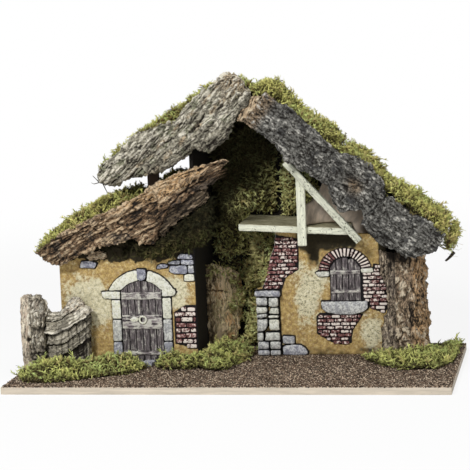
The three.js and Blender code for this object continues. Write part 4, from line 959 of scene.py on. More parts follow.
    @staticmethod
    def shoot_material(name, tip, body, gloom=None):
        """Shoots that lighten to their tips, with straw ones among them, in painted shade where their shade
        is low and in the gloom.
        """
        straw, gap_shade, shadow = (0.50, 0.38, 0.17), (0.050, 0.036, 0.016), (0.014, 0.013, 0.006)
        shader = Shader(name)
        shade = shader.attribute("shade")
        along = shader.attribute("tip")
        cloud = shader.noise(0.035, 2.0)
        young = shader.mix(cloud.between(0.4, 0.62), tip, (tip[0] * 0.72, tip[1] * 0.86, tip[2] * 0.9))
        old = shader.mix(cloud.between(0.45, 0.65), body, (body[0] * 1.2, body[1] * 0.85, body[2]))
        face = shader.mix(along.between(0.25, 1.0) * (shade * 1.1 + 0.15), old, young)
        face = shader.mix(shade.between(0.90, 0.98) * 0.6, face, straw)
        # Painted shade on the shoots in the gaps between clumps.
        face = shader.mix(shade.between(0.32, 0.02) * 0.8, face, gap_shade)
        if gloom:
            face = shader.mix(gloom(shader) * 0.88, face, shadow)
        return shader.finish(face, 0.85, specular=0.15)


# Loose bits

# Stems by their points in millimetres, their thickness and their tone: 0 for a dark twig, 1 for straw
STEMS = (
    ([(-152, 6, 219), (-157, 3, 221), (-161, 2, 226), (-164, 2, 229)], 1.5, 0.0),
    ([(-157, 3, 221), (-163, 2, 219.5), (-166, 2, 221)], 1.1, 0.0),
    ([(-153, 5, 219), (-150, 2, 214), (-147.5, 1, 209.5)], 1.3, 0.05),
    ([(242.8, 57.0, 127.1), (239.2, 57.0, 122.5), (235.7, 57.0, 119.1), (232.8, 57.0, 116.8)], 4.4, 0.0),
    ([(238, 60, 136), (246, 57, 137.5), (253.5, 55, 135.5)], 0.4, 1.0),
    ([(240, 62, 131), (248, 58, 129), (252, 56, 131.5)], 0.35, 0.9),
    ([(236, 50, 127), (241, 47, 124), (248, 45, 123.5)], 0.35, 1.0),
    ([(-243, -34, 12), (-250, -37, 13), (-256, -38, 16)], 0.6, 0.05),
    ([(-246, -36, 11), (-252, -42, 10.4)], 0.7, 0.0),
    ([(28, 30, 297), (24, 20, 303), (17, 14, 304)], 0.35, 0.7),
    ([(96, 22, 262), (104, 18, 270), (113, 16, 273)], 0.4, 0.25),
    ([(168, 24, 204), (177, 20, 211), (187, 18, 212)], 0.4, 0.8),
    ([(-60, 20, 296), (-64, 14, 304), (-63, 12, 309)], 0.4, 0.5),
)


class STABLE_OT_loose_bits(Operator):
    """Lay the dark twigs and straw stems that cling to the moss."""
    bl_idname = "stable.loose_bits"
    bl_label = "Twigs and straw"

    def execute(self, context):
        shader = Shader("twigs_and_straw")
        tone = shader.attribute("tone")
        face = shader.mix(tone, (0.022, 0.018, 0.016), (0.62, 0.52, 0.30))
        mottle = shader.noise(0.0015, 3.0).between(0.4, 0.65) * 0.5
        face = shader.mix(mottle, face, (0.18, 0.144, 0.09))
        bm = bmesh.new()
        bm.verts.layers.float.new("tone")
        for points, thick, value in STEMS:
            self.stem(bm, [Vector(point) * MM for point in points], thick * MM, value)
        add_piece("twigs_and_straw", bm, shader.finish(face, 0.85))
        return {"FINISHED"}

    @staticmethod
    def stem(bm, points, thick, value):
        """A tapering tube along the points: a small ring, drawn out from point to point."""
        layer = bm.verts.layers.float["tone"]
        ring = bmesh.ops.create_circle(bm, segments=6, radius=thick / 2)["verts"]
        ahead = (points[1] - points[0]).to_track_quat("Z", "Y").to_matrix().to_4x4()
        bmesh.ops.transform(bm, verts=ring, matrix=Matrix.Translation(points[0]) @ ahead)
        everything, loop = list(ring), list({edge for vert in ring for edge in vert.link_edges})
        bmesh.ops.contextual_create(bm, geom=loop)
        for start, end in zip(points, points[1:]):
            grown = bmesh.ops.extrude_edge_only(bm, edges=loop)["geom"]
            verts = [item for item in grown if isinstance(item, bmesh.types.BMVert)]
            loop = [item for item in grown if isinstance(item, bmesh.types.BMEdge)]
            bmesh.ops.translate(bm, verts=verts, vec=end - start)
            middle = sum((vert.co for vert in verts), Vector()) / len(verts)
            for vert in verts:
                vert.co = middle + (vert.co - middle) * 0.8
            everything += verts
        bmesh.ops.contextual_create(bm, geom=loop)
        for vert in everything:
            vert[layer] = value


# Castings

def even_ring(outline, step):
    """The outline's points with more between them, about a step apart."""
    ring = []
    for (x0, z0), (x1, z1) in zip(outline, outline[1:] + outline[:1]):
        count = max(1, round(math.hypot(x1 - x0, z1 - z0) / step))
        ring += [(x0 + (x1 - x0) * i / count, z0 + (z1 - z0) * i / count) for i in range(count)]
    return ring


def rounded(outline, radius):
    """The outline with its corners cut, by the radius or a third of the shorter side."""
    ring = []
    for before, corner, after in zip(outline[-1:] + outline[:-1], outline, outline[1:] + outline[:1]):
        for other in (before, after):
            side = math.dist(corner, other)
            share = min(radius, side / 3) / side
            ring.append(tuple(near + (far - near) * share for near, far in zip(corner, other)))
    return ring


def add_raised(bm, outline, face_y, relief, rng, edge=0.9, wobble=0.3, tone=0.5, turn=0.0, step=2.4):
    """A stone, brick or plank: its outline raised from the panel, with a rounded edge and a crown."""
    layers = bm.verts.layers
    shown, shade, grain = layers.float["front"], layers.float["tone"], layers.float_vector["grain"]
    ring = even_ring(outline, step)
    back = (face_y + 1) * MM
    corners = [
        bm.verts.new(((x + rng.uniform(-wobble, wobble)) * MM, back, (z + rng.uniform(-wobble, wobble)) * MM))
        for x, z in ring
    ]
    flat = bm.faces.new(corners)
    flat.normal_update()
    if flat.normal.y > 0:
        flat.normal_flip()
    raised = bmesh.ops.extrude_face_region(bm, geom=[flat])["geom"]
    crown = next(item for item in raised if isinstance(item, bmesh.types.BMFace))
    bmesh.ops.translate(bm, verts=crown.verts[:], vec=(0, -(relief * 0.75 + 1) * MM, 0))
    for inward, outward in ((0.45, 0.17), (0.75, 0.08)):
        bmesh.ops.inset_region(
            bm, faces=[crown], thickness=edge * MM * inward, depth=relief * outward * MM,
            use_even_offset=True)
    front_verts = set(crown.verts)
    turned = Matrix.Rotation(math.radians(turn), 3, "Y")
    shift = Vector((rng.uniform(0, 1), rng.uniform(0, 1), rng.uniform(0, 1)))
    for vert in linked_verts(crown.verts[0]):
        proud = (face_y * MM - vert.co.y) / MM
        vert[shown] = 1.0 if vert in front_verts else ramp(proud, relief * 0.6, relief)
        vert[shade] = tone
        vert[grain] = turned @ vert.co + shift


def linked_verts(start):
    """Every vertex that hangs together with the first one."""
    found, waiting = {start}, [start]
    while waiting:
        vert = waiting.pop()
        for edge in vert.link_edges:
            other = edge.other_vert(vert)
            if other not in found:
                found.add(other)
                waiting.append(other)
    return found


def relief_bmesh():
    """An empty bmesh that raised pieces can be added to."""
    bm = bmesh.new()
    bm.verts.layers.float.new("front")
    bm.verts.layers.float.new("tone")
    bm.verts.layers.float_vector.new("grain")
    return bm


def rectangle(x0, z0, x1, z1):
    """Outline of an upright rectangle between two corners."""
    return [(x0, z0), (x1, z0), (x1, z1), (x0, z1)]


def arc_stone(centre, inner, outer, start, end, feet=None, squash=1.0):
    """Outline between two radii, lowered by squash. An end without an angle is cut level at feet."""
    def rim(radius):
        """The points along one radius, from the first end to the last."""
        level = math.asin((feet - centre[1]) / radius) if feet else 0.0
        low, high = (level if start is None else start), (math.pi - level if end is None else end)
        count = max(2, round((high - low) * radius / 4))
        angles = [low + (high - low) * i / count for i in range(count + 1)]
        return [
            (centre[0] + radius * math.cos(a), centre[1] + squash * radius * math.sin(a))
            for a in angles
        ]
    return rim(outer) + rim(inner)[::-1]


def mirrored_arch(x, spring, radius, bottom, half, squash=1.0):
    """Outline of an opening with upright sides and a round or lowered head."""
    start = math.acos(min(1.0, half / radius))
    angles = [start + (math.pi - 2 * start) * i / 10 for i in range(11)]
    head = [(x + radius * math.cos(a), spring + squash * radius * math.sin(a)) for a in angles]
    return [(x - half, bottom), (x + half, bottom), *head]


def span_at(patch, z):
    """Left and right end of a level line through a patch."""
    hits = []
    for (x0, z0), (x1, z1) in zip(patch, patch[1:] + patch[:1]):
        if (z0 - z) * (z1 - z) < 0:
            hits.append(x0 + (z - z0) / (z1 - z0) * (x1 - x0))
    return min(hits), max(hits)


def brick_outlines(patch, pitch, brick_length, rng):
    """Staggered bricks that fill a patch."""
    bottom, top = min(z for _, z in patch), max(z for _, z in patch)
    outlines = []
    z, course = bottom + 0.6, 0
    while z + pitch * 0.75 < top:
        left, right = span_at(patch, z + pitch * 0.4)
        x = left + 0.6 + rng.uniform(0, 1.2)
        width = brick_length * (0.55 if course % 2 else 1)
        while x + 2.6 < right:
            end = min(x + width * rng.uniform(0.85, 1.15), right - 0.4)
            lift = rng.uniform(-0.25, 0.25)
            outlines.append(rectangle(x, z + lift, end, z + lift + pitch * rng.uniform(0.72, 0.84)))
            x = end + 0.9
            width = brick_length
        z += pitch
        course += 1
    return outlines


def from_place(x, z, outline):
    """Shifts an outline to a place."""
    return [(x + dx, z + dz) for dx, dz in outline]


# Distance from course to course and length of a brick, in millimetres
ANNEX_BRICK, CAVE_BRICK = (6.2, 11.5), (4.35, 9.5)
# Stones at the annex's upper right corner, from that corner's foot: outline and tone
QUOINS = (
    ([(-19, 122.5), (-1, 122.5), (-1, 127), (-14, 129), (-18, 126)], 0.9),
    ([(-15, 116), (0, 116), (0, 121.7), (-15, 121.7)], 0.85),
    ([(-30, 117), (-16, 116.4), (-16, 121), (-29, 120)], 0.8),
    ([(-44, 111.5), (-31, 112.5), (-30, 116), (-38, 117), (-43, 115)], 0.9),
    ([(-29, 108), (-22, 105.4), (-8, 105), (-8, 115), (-15, 115), (-28, 114.5)], 0.8),
    ([(-7, 106), (0, 106), (0, 115), (-7, 115)], 0.75),
    ([(-12, 97), (0, 97), (0, 105), (-8, 105.3), (-12, 103)], 0.1),
)
FLAGSTONE = [(25, 114), (43, 113), (46, 119), (36, 122), (27, 121)]
# Joints between the jamb stones over the ground, and the tones from stone to stone upwards
JAMB_JOINTS = (1, 10, 27, 53, 76)
LEFT_JAMB, RIGHT_JAMB = (1.0, 0.75, 0.42, 0.0), (1.0, 0.7, 0.5, 0.08)


def annex_stones():
    """Outline, tone and relief of each stone on the annex: door surround, corner stones, flagstone."""
    centre = (DOOR_X, DOOR_ARCH_Z)
    spring = GROUND + 87.0
    upright = math.pi / 2 - 0.06
    left, right = DOOR_X - DOOR_HALF, DOOR_X + DOOR_HALF
    keystone = [(-3.6, 12.5), (0.4, 10.6), (5.2, 12.3), (7.2, 18.6), (6.2, 24.4), (-3.9, 25)]
    left_impost = [(-21, -9), (-0.4, -10.5), (-0.4, -1.2), (-22.5, -1.4)]
    right_impost = [(0.4, -7.6), (13.5, -7.2), (17, -3), (15.5, 1), (0.4, 1.2)]
    stones = [
        (arc_stone(centre, DOOR_ARCH, 43.2, None, upright - 0.155, spring), 0.12, 3.0),
        (arc_stone(centre, DOOR_ARCH, 43.2, upright + 0.155, None, spring), 0.05, 3.0),
        (from_place(DOOR_X, spring, keystone), 0.85, 3.6),
        (from_place(left, spring, left_impost), 0.0, 3.2),
        (from_place(right, spring, right_impost), 0.15, 3.2),
    ]
    for low, high, left_tone, right_tone in zip(JAMB_JOINTS, JAMB_JOINTS[1:], LEFT_JAMB, RIGHT_JAMB):
        low, high = GROUND + low + 0.5, GROUND + high - 0.5
        stones.append((rectangle(left - 10.8, low, left - 0.5, high), left_tone, 2.8))
        high += 2.4 * (right_tone < 0.1)
        stones.append((rectangle(right + 0.5, low, right + 10.4, high), right_tone, 2.8))
    stones += [(from_place(ANNEX_RIGHT - 0.6, GROUND, outline), tone, 2.4) for outline, tone in QUOINS]
    stones.append((from_place(ANNEX_LEFT, GROUND, FLAGSTONE), 1.0, 3.0))
    return stones


# Stones of the pier, from its left foot: outline and tone
PIER = (
    ([(0.9, 60), (14, 59.4), (14.2, 68.6), (1, 69)], 0.55),
    ([(0.9, 50), (13.6, 51), (13.8, 58), (1, 58)], 0.5),
    ([(0.9, 45.6), (6, 44.4), (13.4, 46.6), (13.6, 49.8), (1, 49)], 0.6),
    ([(1.4, 29), (9.4, 29.4), (13.6, 35.4), (14, 43.6), (1.6, 43.2)], 0.7),
    ([(0.9, 18), (8.4, 18.4), (8.2, 27.6), (1.2, 27)], 0.5),
    ([(1.4, 8), (14.6, 8.4), (14.6, 16.8), (2, 16.8)], 0.7),
    ([(1, 0.8), (15, 0.8), (15, 6.8), (1, 7)], 0.8),
    ([(16.2, 0.8), (28, 0.8), (28, 7), (16.2, 6.6)], 0.7),
    ([(15.8, 58), (27, 58.4), (27, 68.6), (15.6, 68.8)], 0.45),
    ([(15.6, 49.6), (27.4, 49.4), (27, 56.8), (18, 57)], 0.35),
    ([(14.8, 44.4), (27.2, 44.8), (27.2, 48), (15, 48.2)], 0.4),
    ([(15.6, 30.6), (27.4, 30.2), (27.4, 43), (15.6, 43)], 0.3),
    ([(10, 18.2), (27.8, 18.4), (27.6, 28), (11, 28)], 0.45),
    ([(16, 8), (28, 8.2), (28, 17), (15.8, 17)], 0.6),
)


def cave_stones():
    """Outline, tone and relief of each stone on the cave front: pier, base stones, imposts and sill."""
    stones = [(from_place(PIER_LEFT, GROUND, outline), 0.04 + 0.7 * tone, 7.6) for outline, tone in PIER]
    cap = [(-0.4, 70.4), (29.6, 70), (29.8, 76.6), (20, 77.6), (-0.2, 77)]
    stones.append((from_place(PIER_LEFT, GROUND, cap), 0.65, 8.6))
    heel = [(1.2, 0.6), (29, 0.6), (31, 3.5), (27, 9.4), (22, 12.2), (13, 13), (1.2, 11)]
    stones.append((from_place(PIER_RIGHT, GROUND, heel), 0.75, 4.4))
    block = [(1.2, 13.8), (15.4, 13.6), (15.4, 22.4), (1.4, 23)]
    stones.append((from_place(PIER_RIGHT, GROUND, block), 0.6, 3.4))
    left_impost = [(-17, -2.4), (-13, -6.4), (-0.5, -6.6), (-0.5, -0.8), (-14, -0.4)]
    stones.append((from_place(WINDOW_X - WINDOW_HALF, WINDOW_SPRING, left_impost), 0.3, 3.4))
    right_impost = [(0.5, -2.4), (14, -2.4), (15.4, 0), (14, 2.8), (0.5, 2.6)]
    stones.append((from_place(WINDOW_X + WINDOW_HALF, WINDOW_SPRING, right_impost), 0.15, 3.4))
    sill = [
        (-29, -0.6), (25, -0.4), (25, -9.5), (19, -13.4), (6, -16.4), (-10, -15.6), (-23, -13.4), (-28.4, -9),
    ]
    stones.append((from_place(WINDOW_X, WINDOW_SILL, sill), 0.55, 4.6))
    return stones


def window_arch():
    """Outlines and tones of the bricks over the window, darker in its left third."""
    count = 19
    turn = math.pi / count
    arch = []
    for i in range(count):
        start, end = i * turn + 0.03, (i + 1) * turn - 0.03
        outline = arc_stone(
            (WINDOW_X, WINDOW_SPRING), WINDOW_HALF + 1.2, WINDOW_ARCH, start, end, squash=WINDOW_SQUASH)
        arch.append((outline, 0.3 if i > 12 else 0.85))
    return arch


ANNEX_PATCH = from_place(ANNEX_RIGHT - 0.6, GROUND, [(-25, 24), (0, 18), (0, 68), (-12, 68), (-25.5, 60)])
# Brick patches beside the window, under it and over the pier, with their tones
CAVE_PATCHES = tuple(from_place(WINDOW_X, GROUND, patch) for patch in (
    [(19, 65), (27, 60), (28, 55), (44, 49), (48, 57), (48, 79), (43, 89), (42, 105), (33, 106), (32, 97),
     (19, 96)],
    [(-35, 25), (-18, 15), (-6, 12.5), (4, 14), (6, 29), (19, 48), (-31, 49), (-35, 45)],
    [(-97, 79), (-75, 78), (-70, 92), (-55, 101), (-54, 136), (-80, 141), (-84, 124), (-89, 113)],
))
CAVE_PATCH_TONES = (0.65, 0.5, 0.3)
# The cave front's ragged left rim over the pier, from the pier's left foot upwards
RAGGED_RIM = ((0, 78), (8, 80), (16, 96), (18, 115), (23, 126), (25, 139))

# Fields of cream on the stucco: x, z, half width, half height, strength
ANNEX_CREAM = (
    (-180, 90, 24, 22, 1.0), (-160, 74, 14, 24, 0.8), (-74, 92, 16, 20, 1.1), (-192, 55, 14, 18, 0.5),
)
CAVE_CREAM = ((72, 74, 15, 27, 1.1), (88, 98, 12, 14, 0.7), (147, 34, 13, 22, 1.1), (62, 112, 12, 12, 0.4))

# Lower and upper edge of each batten over the door's foot, and the middle of its pull ring
DOOR_BATTENS, RING_HEIGHT = ((76, 84.5), (41.5, 58), (11, 16)), 52.5
# Lower and upper edge of each batten over the window's sill
WINDOW_BATTENS = ((9, 12.6), (31, 35.5))


def leaf_planks(middle, half, count, foot, spring, radius, squash=1.0):
    """Outlines of the upright planks of a leaf under a round or lowered arch."""
    width = 2 * half / count
    planks = []
    for i in range(count):
        left, right = middle - half + i * width + 0.5, middle - half + (i + 1) * width - 0.5
        tops = [
            (x, spring + squash * math.sqrt(max(4.0, radius ** 2 - (x - middle) ** 2)))
            for x in (right, left)
        ]
        planks.append([(left, foot), (right, foot), *tops])
    return planks


def distance_to(points, outlines):
    """Least distance in millimetres from each point to any outline, and 0 inside one."""
    nearest = np.full(len(points), 1e3)
    for outline in outlines:
        inside = np.zeros(len(points), bool)
        for (x0, z0), (x1, z1) in zip(outline, outline[1:] + outline[:1]):
            run = np.array((x1 - x0, z1 - z0))
            offset = points - (x0, z0)
            share = np.clip(offset @ run / max(1e-9, run @ run), 0, 1)
            nearest = np.minimum(nearest, np.hypot(*(offset - share[:, None] * run).T))
            crosses = (points[:, 1] < z0) != (points[:, 1] < z1)
            if z1 != z0:
                inside ^= crosses & (points[:, 0] < x0 + (points[:, 1] - z0) / (z1 - z0) * (x1 - x0))
        nearest[inside] = 0
    return nearest


def cast_panel(outline, face_y, thick, marks, dark_patches, cell):
    """The plaster ground of a casting, with its distance to the stones kept as an attribute."""
    bm = bmesh.new()
    flat = bm.faces.new([bm.verts.new((x * MM, (face_y + thick) * MM, z * MM)) for x, z in outline])
    raised = bmesh.ops.extrude_face_region(bm, geom=[flat])["geom"]
    verts = [item for item in raised if isinstance(item, bmesh.types.BMVert)]
    bmesh.ops.translate(bm, verts=verts, vec=(0, -thick * MM, 0))
    bmesh.ops.recalc_face_normals(bm, faces=bm.faces)
    bm = even_grid(bm, cell)
    points = np.array([(vert.co.x, vert.co.z) for vert in bm.verts]) / MM
    gap = distance_to(points, marks)
    patch = distance_to(points, dark_patches)
    joint = bm.verts.layers.float.new("joint")
    for vert, near, in_patch in zip(bm.verts, gap, patch):
        vert[joint] = max(1 - ramp(near, 0.5, 1.9), 1 - ramp(in_patch, 0.2, 1.6))
        if vert.normal.y < -0.5:
            bumps = 0.8 * noise.fractal(vert.co / (5 * MM), 0.7, 2.0, 3)
            bumps += 0.7 * noise.noise(vert.co / (19 * MM))
            vert.co.y -= (bumps - 0.4 * vert[joint] - 0.2) * MM
    return bm


def add_ring(bm, x, y, z, radius, wire):
    """The door's pull ring: a small circle, spun round."""
    others = set(bm.verts)
    circle = bmesh.ops.create_circle(bm, segments=8, radius=wire * MM)["verts"]
    stand = Matrix.Translation(((x + radius) * MM, y * MM, z * MM))
    bmesh.ops.transform(bm, verts=circle, matrix=stand)
    edges = list({edge for vert in circle for edge in vert.link_edges})
    bmesh.ops.spin(
        bm, geom=circle + edges, cent=(x * MM, y * MM, z * MM), axis=(0, 1, 0), angle=math.tau, steps=24,
        use_merge=True)
    shown = bm.verts.layers.float["front"]
    for vert in set(bm.verts) - others:
        vert[shown] = 1.0


class CastingMaterials:
    """The painted finishes that both castings share."""

    def __init__(self, tones):
        self.annex_stucco = self.stucco_material(tones, "annex_stucco", 0.65)
        self.cave_stucco = self.stucco_material(tones, "cave_stucco", 1.0)
        self.stone = self.stone_material(tones)
        self.brick = self.brick_material(tones)
        self.plank = self.plank_material(tones, "cast_planks", 0.2)
        self.batten = self.plank_material(tones, "cast_battens", 1.0)

    @staticmethod
    def stucco_material(tones, name, specked):
        """Ochre with cream fields, chalk and green specks, painted shade, and a dark wash by the stones."""
        ochre = tones.stucco
        brown = (ochre[0] * 0.66, ochre[1] * 0.60, ochre[2] * 0.7)
        chalk, bare_edge = (0.93, 0.89, 0.72), (0.60, 0.58, 0.52)
        damp, green, shade_colour = (0.30, 0.30, 0.19), (0.12, 0.12, 0.065), (0.014, 0.012, 0.006)
        shader = Shader(name)
        bumps = shader.noise(0.0042, 5.0, None, 0.75)
        stipple = shader.noise(0.0036, 5.0, None, 0.85)
        cloud = shader.noise(0.034, 3.0)
        patches = shader.noise(0.010, 5.0, None, 0.7)
        face = shader.mix(bumps.between(0.60, 0.38), scaled(ochre, 1.1), brown)
        field = (shader.attribute("cream") * 0.75 + cloud * 0.5 + patches * 1.3).between(0.88, 1.62)
        brushed = (bumps * 1.7 + field * 0.65).between(0.90, 1.35) * 0.92
        face = shader.mix(brushed, face, tones.stucco_light)
        face = shader.mix(stipple.between(0.52, 0.62) * (field * 0.75 + 0.15), face, chalk)
        face = shader.mix(cloud.between(0.56, 0.70) * specked * 0.35, face, damp)
        specks = stipple.between(0.51, 0.40) * bumps.between(0.66, 0.44) * (field * 0.75 + 0.25)
        face = shader.mix(specks * specked, face, green)
        # The stain attribute paints shade under the eave and the loft board, and a darker band along the
        # cave's foot.
        stain = (shader.attribute("stain") + bumps * 0.5).between(0.50, 0.95)
        face = shader.mix(stain * 0.97, face, shade_colour)
        face = shader.mix(shader.attribute("joint").between(0.3, 0.85), face, tones.joint)
        face = shader.mix(shader.attribute("edge"), face, bare_edge)
        return shader.finish(face, 0.85, bumps + stipple * 0.6, 0.0010)

    @staticmethod
    def stone_material(tones):
        """Cream or lilac stone by its tone, speckled and brushed with white, with dark sides."""
        warm_shadow, cool_shadow, white = (0.44, 0.44, 0.36), (0.12, 0.12, 0.15), (0.88, 0.88, 0.82)
        shader = Shader("cast_stone")
        tone = shader.attribute("tone")
        front = shader.attribute("front")
        speckle = shader.noise(0.0024, 4.0, None, 0.7)
        cloud = shader.noise(0.006, 3.0)
        face = shader.mix(tone.between(0.0, 0.9), tones.stone_cream, tones.stone_lilac)
        shadow = shader.mix(tone, warm_shadow, cool_shadow)
        face = shader.mix(speckle.between(0.51, 0.39) * (tone * 0.35 + 0.55), face, shadow)
        face = shader.mix(cloud.between(0.52, 0.40) * tone * 0.6, face, scaled(cool_shadow, 1.6))
        brushed = (cloud * 0.5 + speckle * 0.7).between(0.58, 0.70)
        face = shader.mix(brushed * (0.9 - tone * 0.5), face, white)
        face = shader.mix(front.between(0.85, 0.2), face, tones.joint)
        return shader.finish(face, 0.8, speckle, 0.0009)

    @staticmethod
    def brick_material(tones):
        """Maroon brick with pale brushing on its raised face."""
        shader = Shader("cast_brick")
        tone = shader.attribute("tone")
        front = shader.attribute("front")
        speckle = shader.noise(0.0030, 3.0, None, 0.65)
        body = shader.mix(speckle.between(0.38, 0.62), scaled(tones.brick, 0.6), scaled(tones.brick, 2.0))
        brushed = front.between(0.6, 1.0) * (speckle + tone * 0.3).between(0.60, 0.70)
        face = shader.mix(brushed, body, tones.brick_light)
        face = shader.mix(front.between(0.7, 0.1), face, tones.joint)
        return shader.finish(face, 0.8, speckle, 0.0006)

    @staticmethod
    def plank_material(tones, name, share):
        """Dark wood with pale brushing on the grain's ridges, more of it at a higher share."""
        shader = Shader(name)
        front = shader.attribute("front")
        streaks = shader.noise(0.0015, 5.0, shader.grain(8.0), 0.75)
        cloud = shader.noise(0.007, 4.0, None, 0.7)
        dark = tones.plank
        body = shader.mix(streaks.between(0.38, 0.58), scaled(dark, 0.35), scaled(dark, 1.5 + 2.2 * share))
        brushed = (streaks + cloud * 0.9).between(1.02 - 0.14 * share, 1.16 - 0.14 * share)
        face = shader.mix(brushed * (0.5 + 0.4 * share), body, tones.plank_light)
        face = shader.mix(front.between(0.7, 0.1), face, tones.joint)
        return shader.finish(face, 0.75, streaks, 0.0009)


def add_tones(bm, shade_at, fields):
    """Keeps at each vertex its painted shade, its share of cream, and whether it is on an edge.

    The painted shade comes from a rule on x and z in millimetres. A field of cream is its middle's x and z,
    its half width and half height, and its strength.
    """
    stain = bm.verts.layers.float.new("stain")
    edge = bm.verts.layers.float.new("edge")
    cream = bm.verts.layers.float.new("cream")
    joint = bm.verts.layers.float["joint"]
    for vert in bm.verts:
        x, z = vert.co.x / MM, vert.co.z / MM
        vert[stain] = shade_at(x, z) * (1 + 0.5 * noise.fractal(vert.co / (9 * MM), 0.8, 2.0, 3))
        shares = (k * bell(x, mid, wide) * bell(z, level, tall) for mid, level, wide, tall, k in fields)
        vert[cream] = min(1.0, sum(shares))
        vert[edge] = ramp(-vert.normal.x, 0.5, 0.8)
        # Sides that face right take the joint's dark colour as painted shade.
        vert[joint] = max(vert[joint], ramp(vert.normal.x, 0.4, 0.7))


def annex_roof_under(x):
    """Height of the annex roof board's underside over x, in millimetres."""
    fall = math.radians(ANNEX_SLOPE)
    return ANNEX_ROOF_Z - abs(x - ANNEX_ROOF_X) * math.tan(fall) - ROOF_BOARD / math.cos(fall) - FIT


def loft_under(x):
    """Height of the loft board's underside over x, in millimetres."""
    return GROUND + 149.5 - (x + 2.0) * math.tan(math.radians(3.1)) - FIT


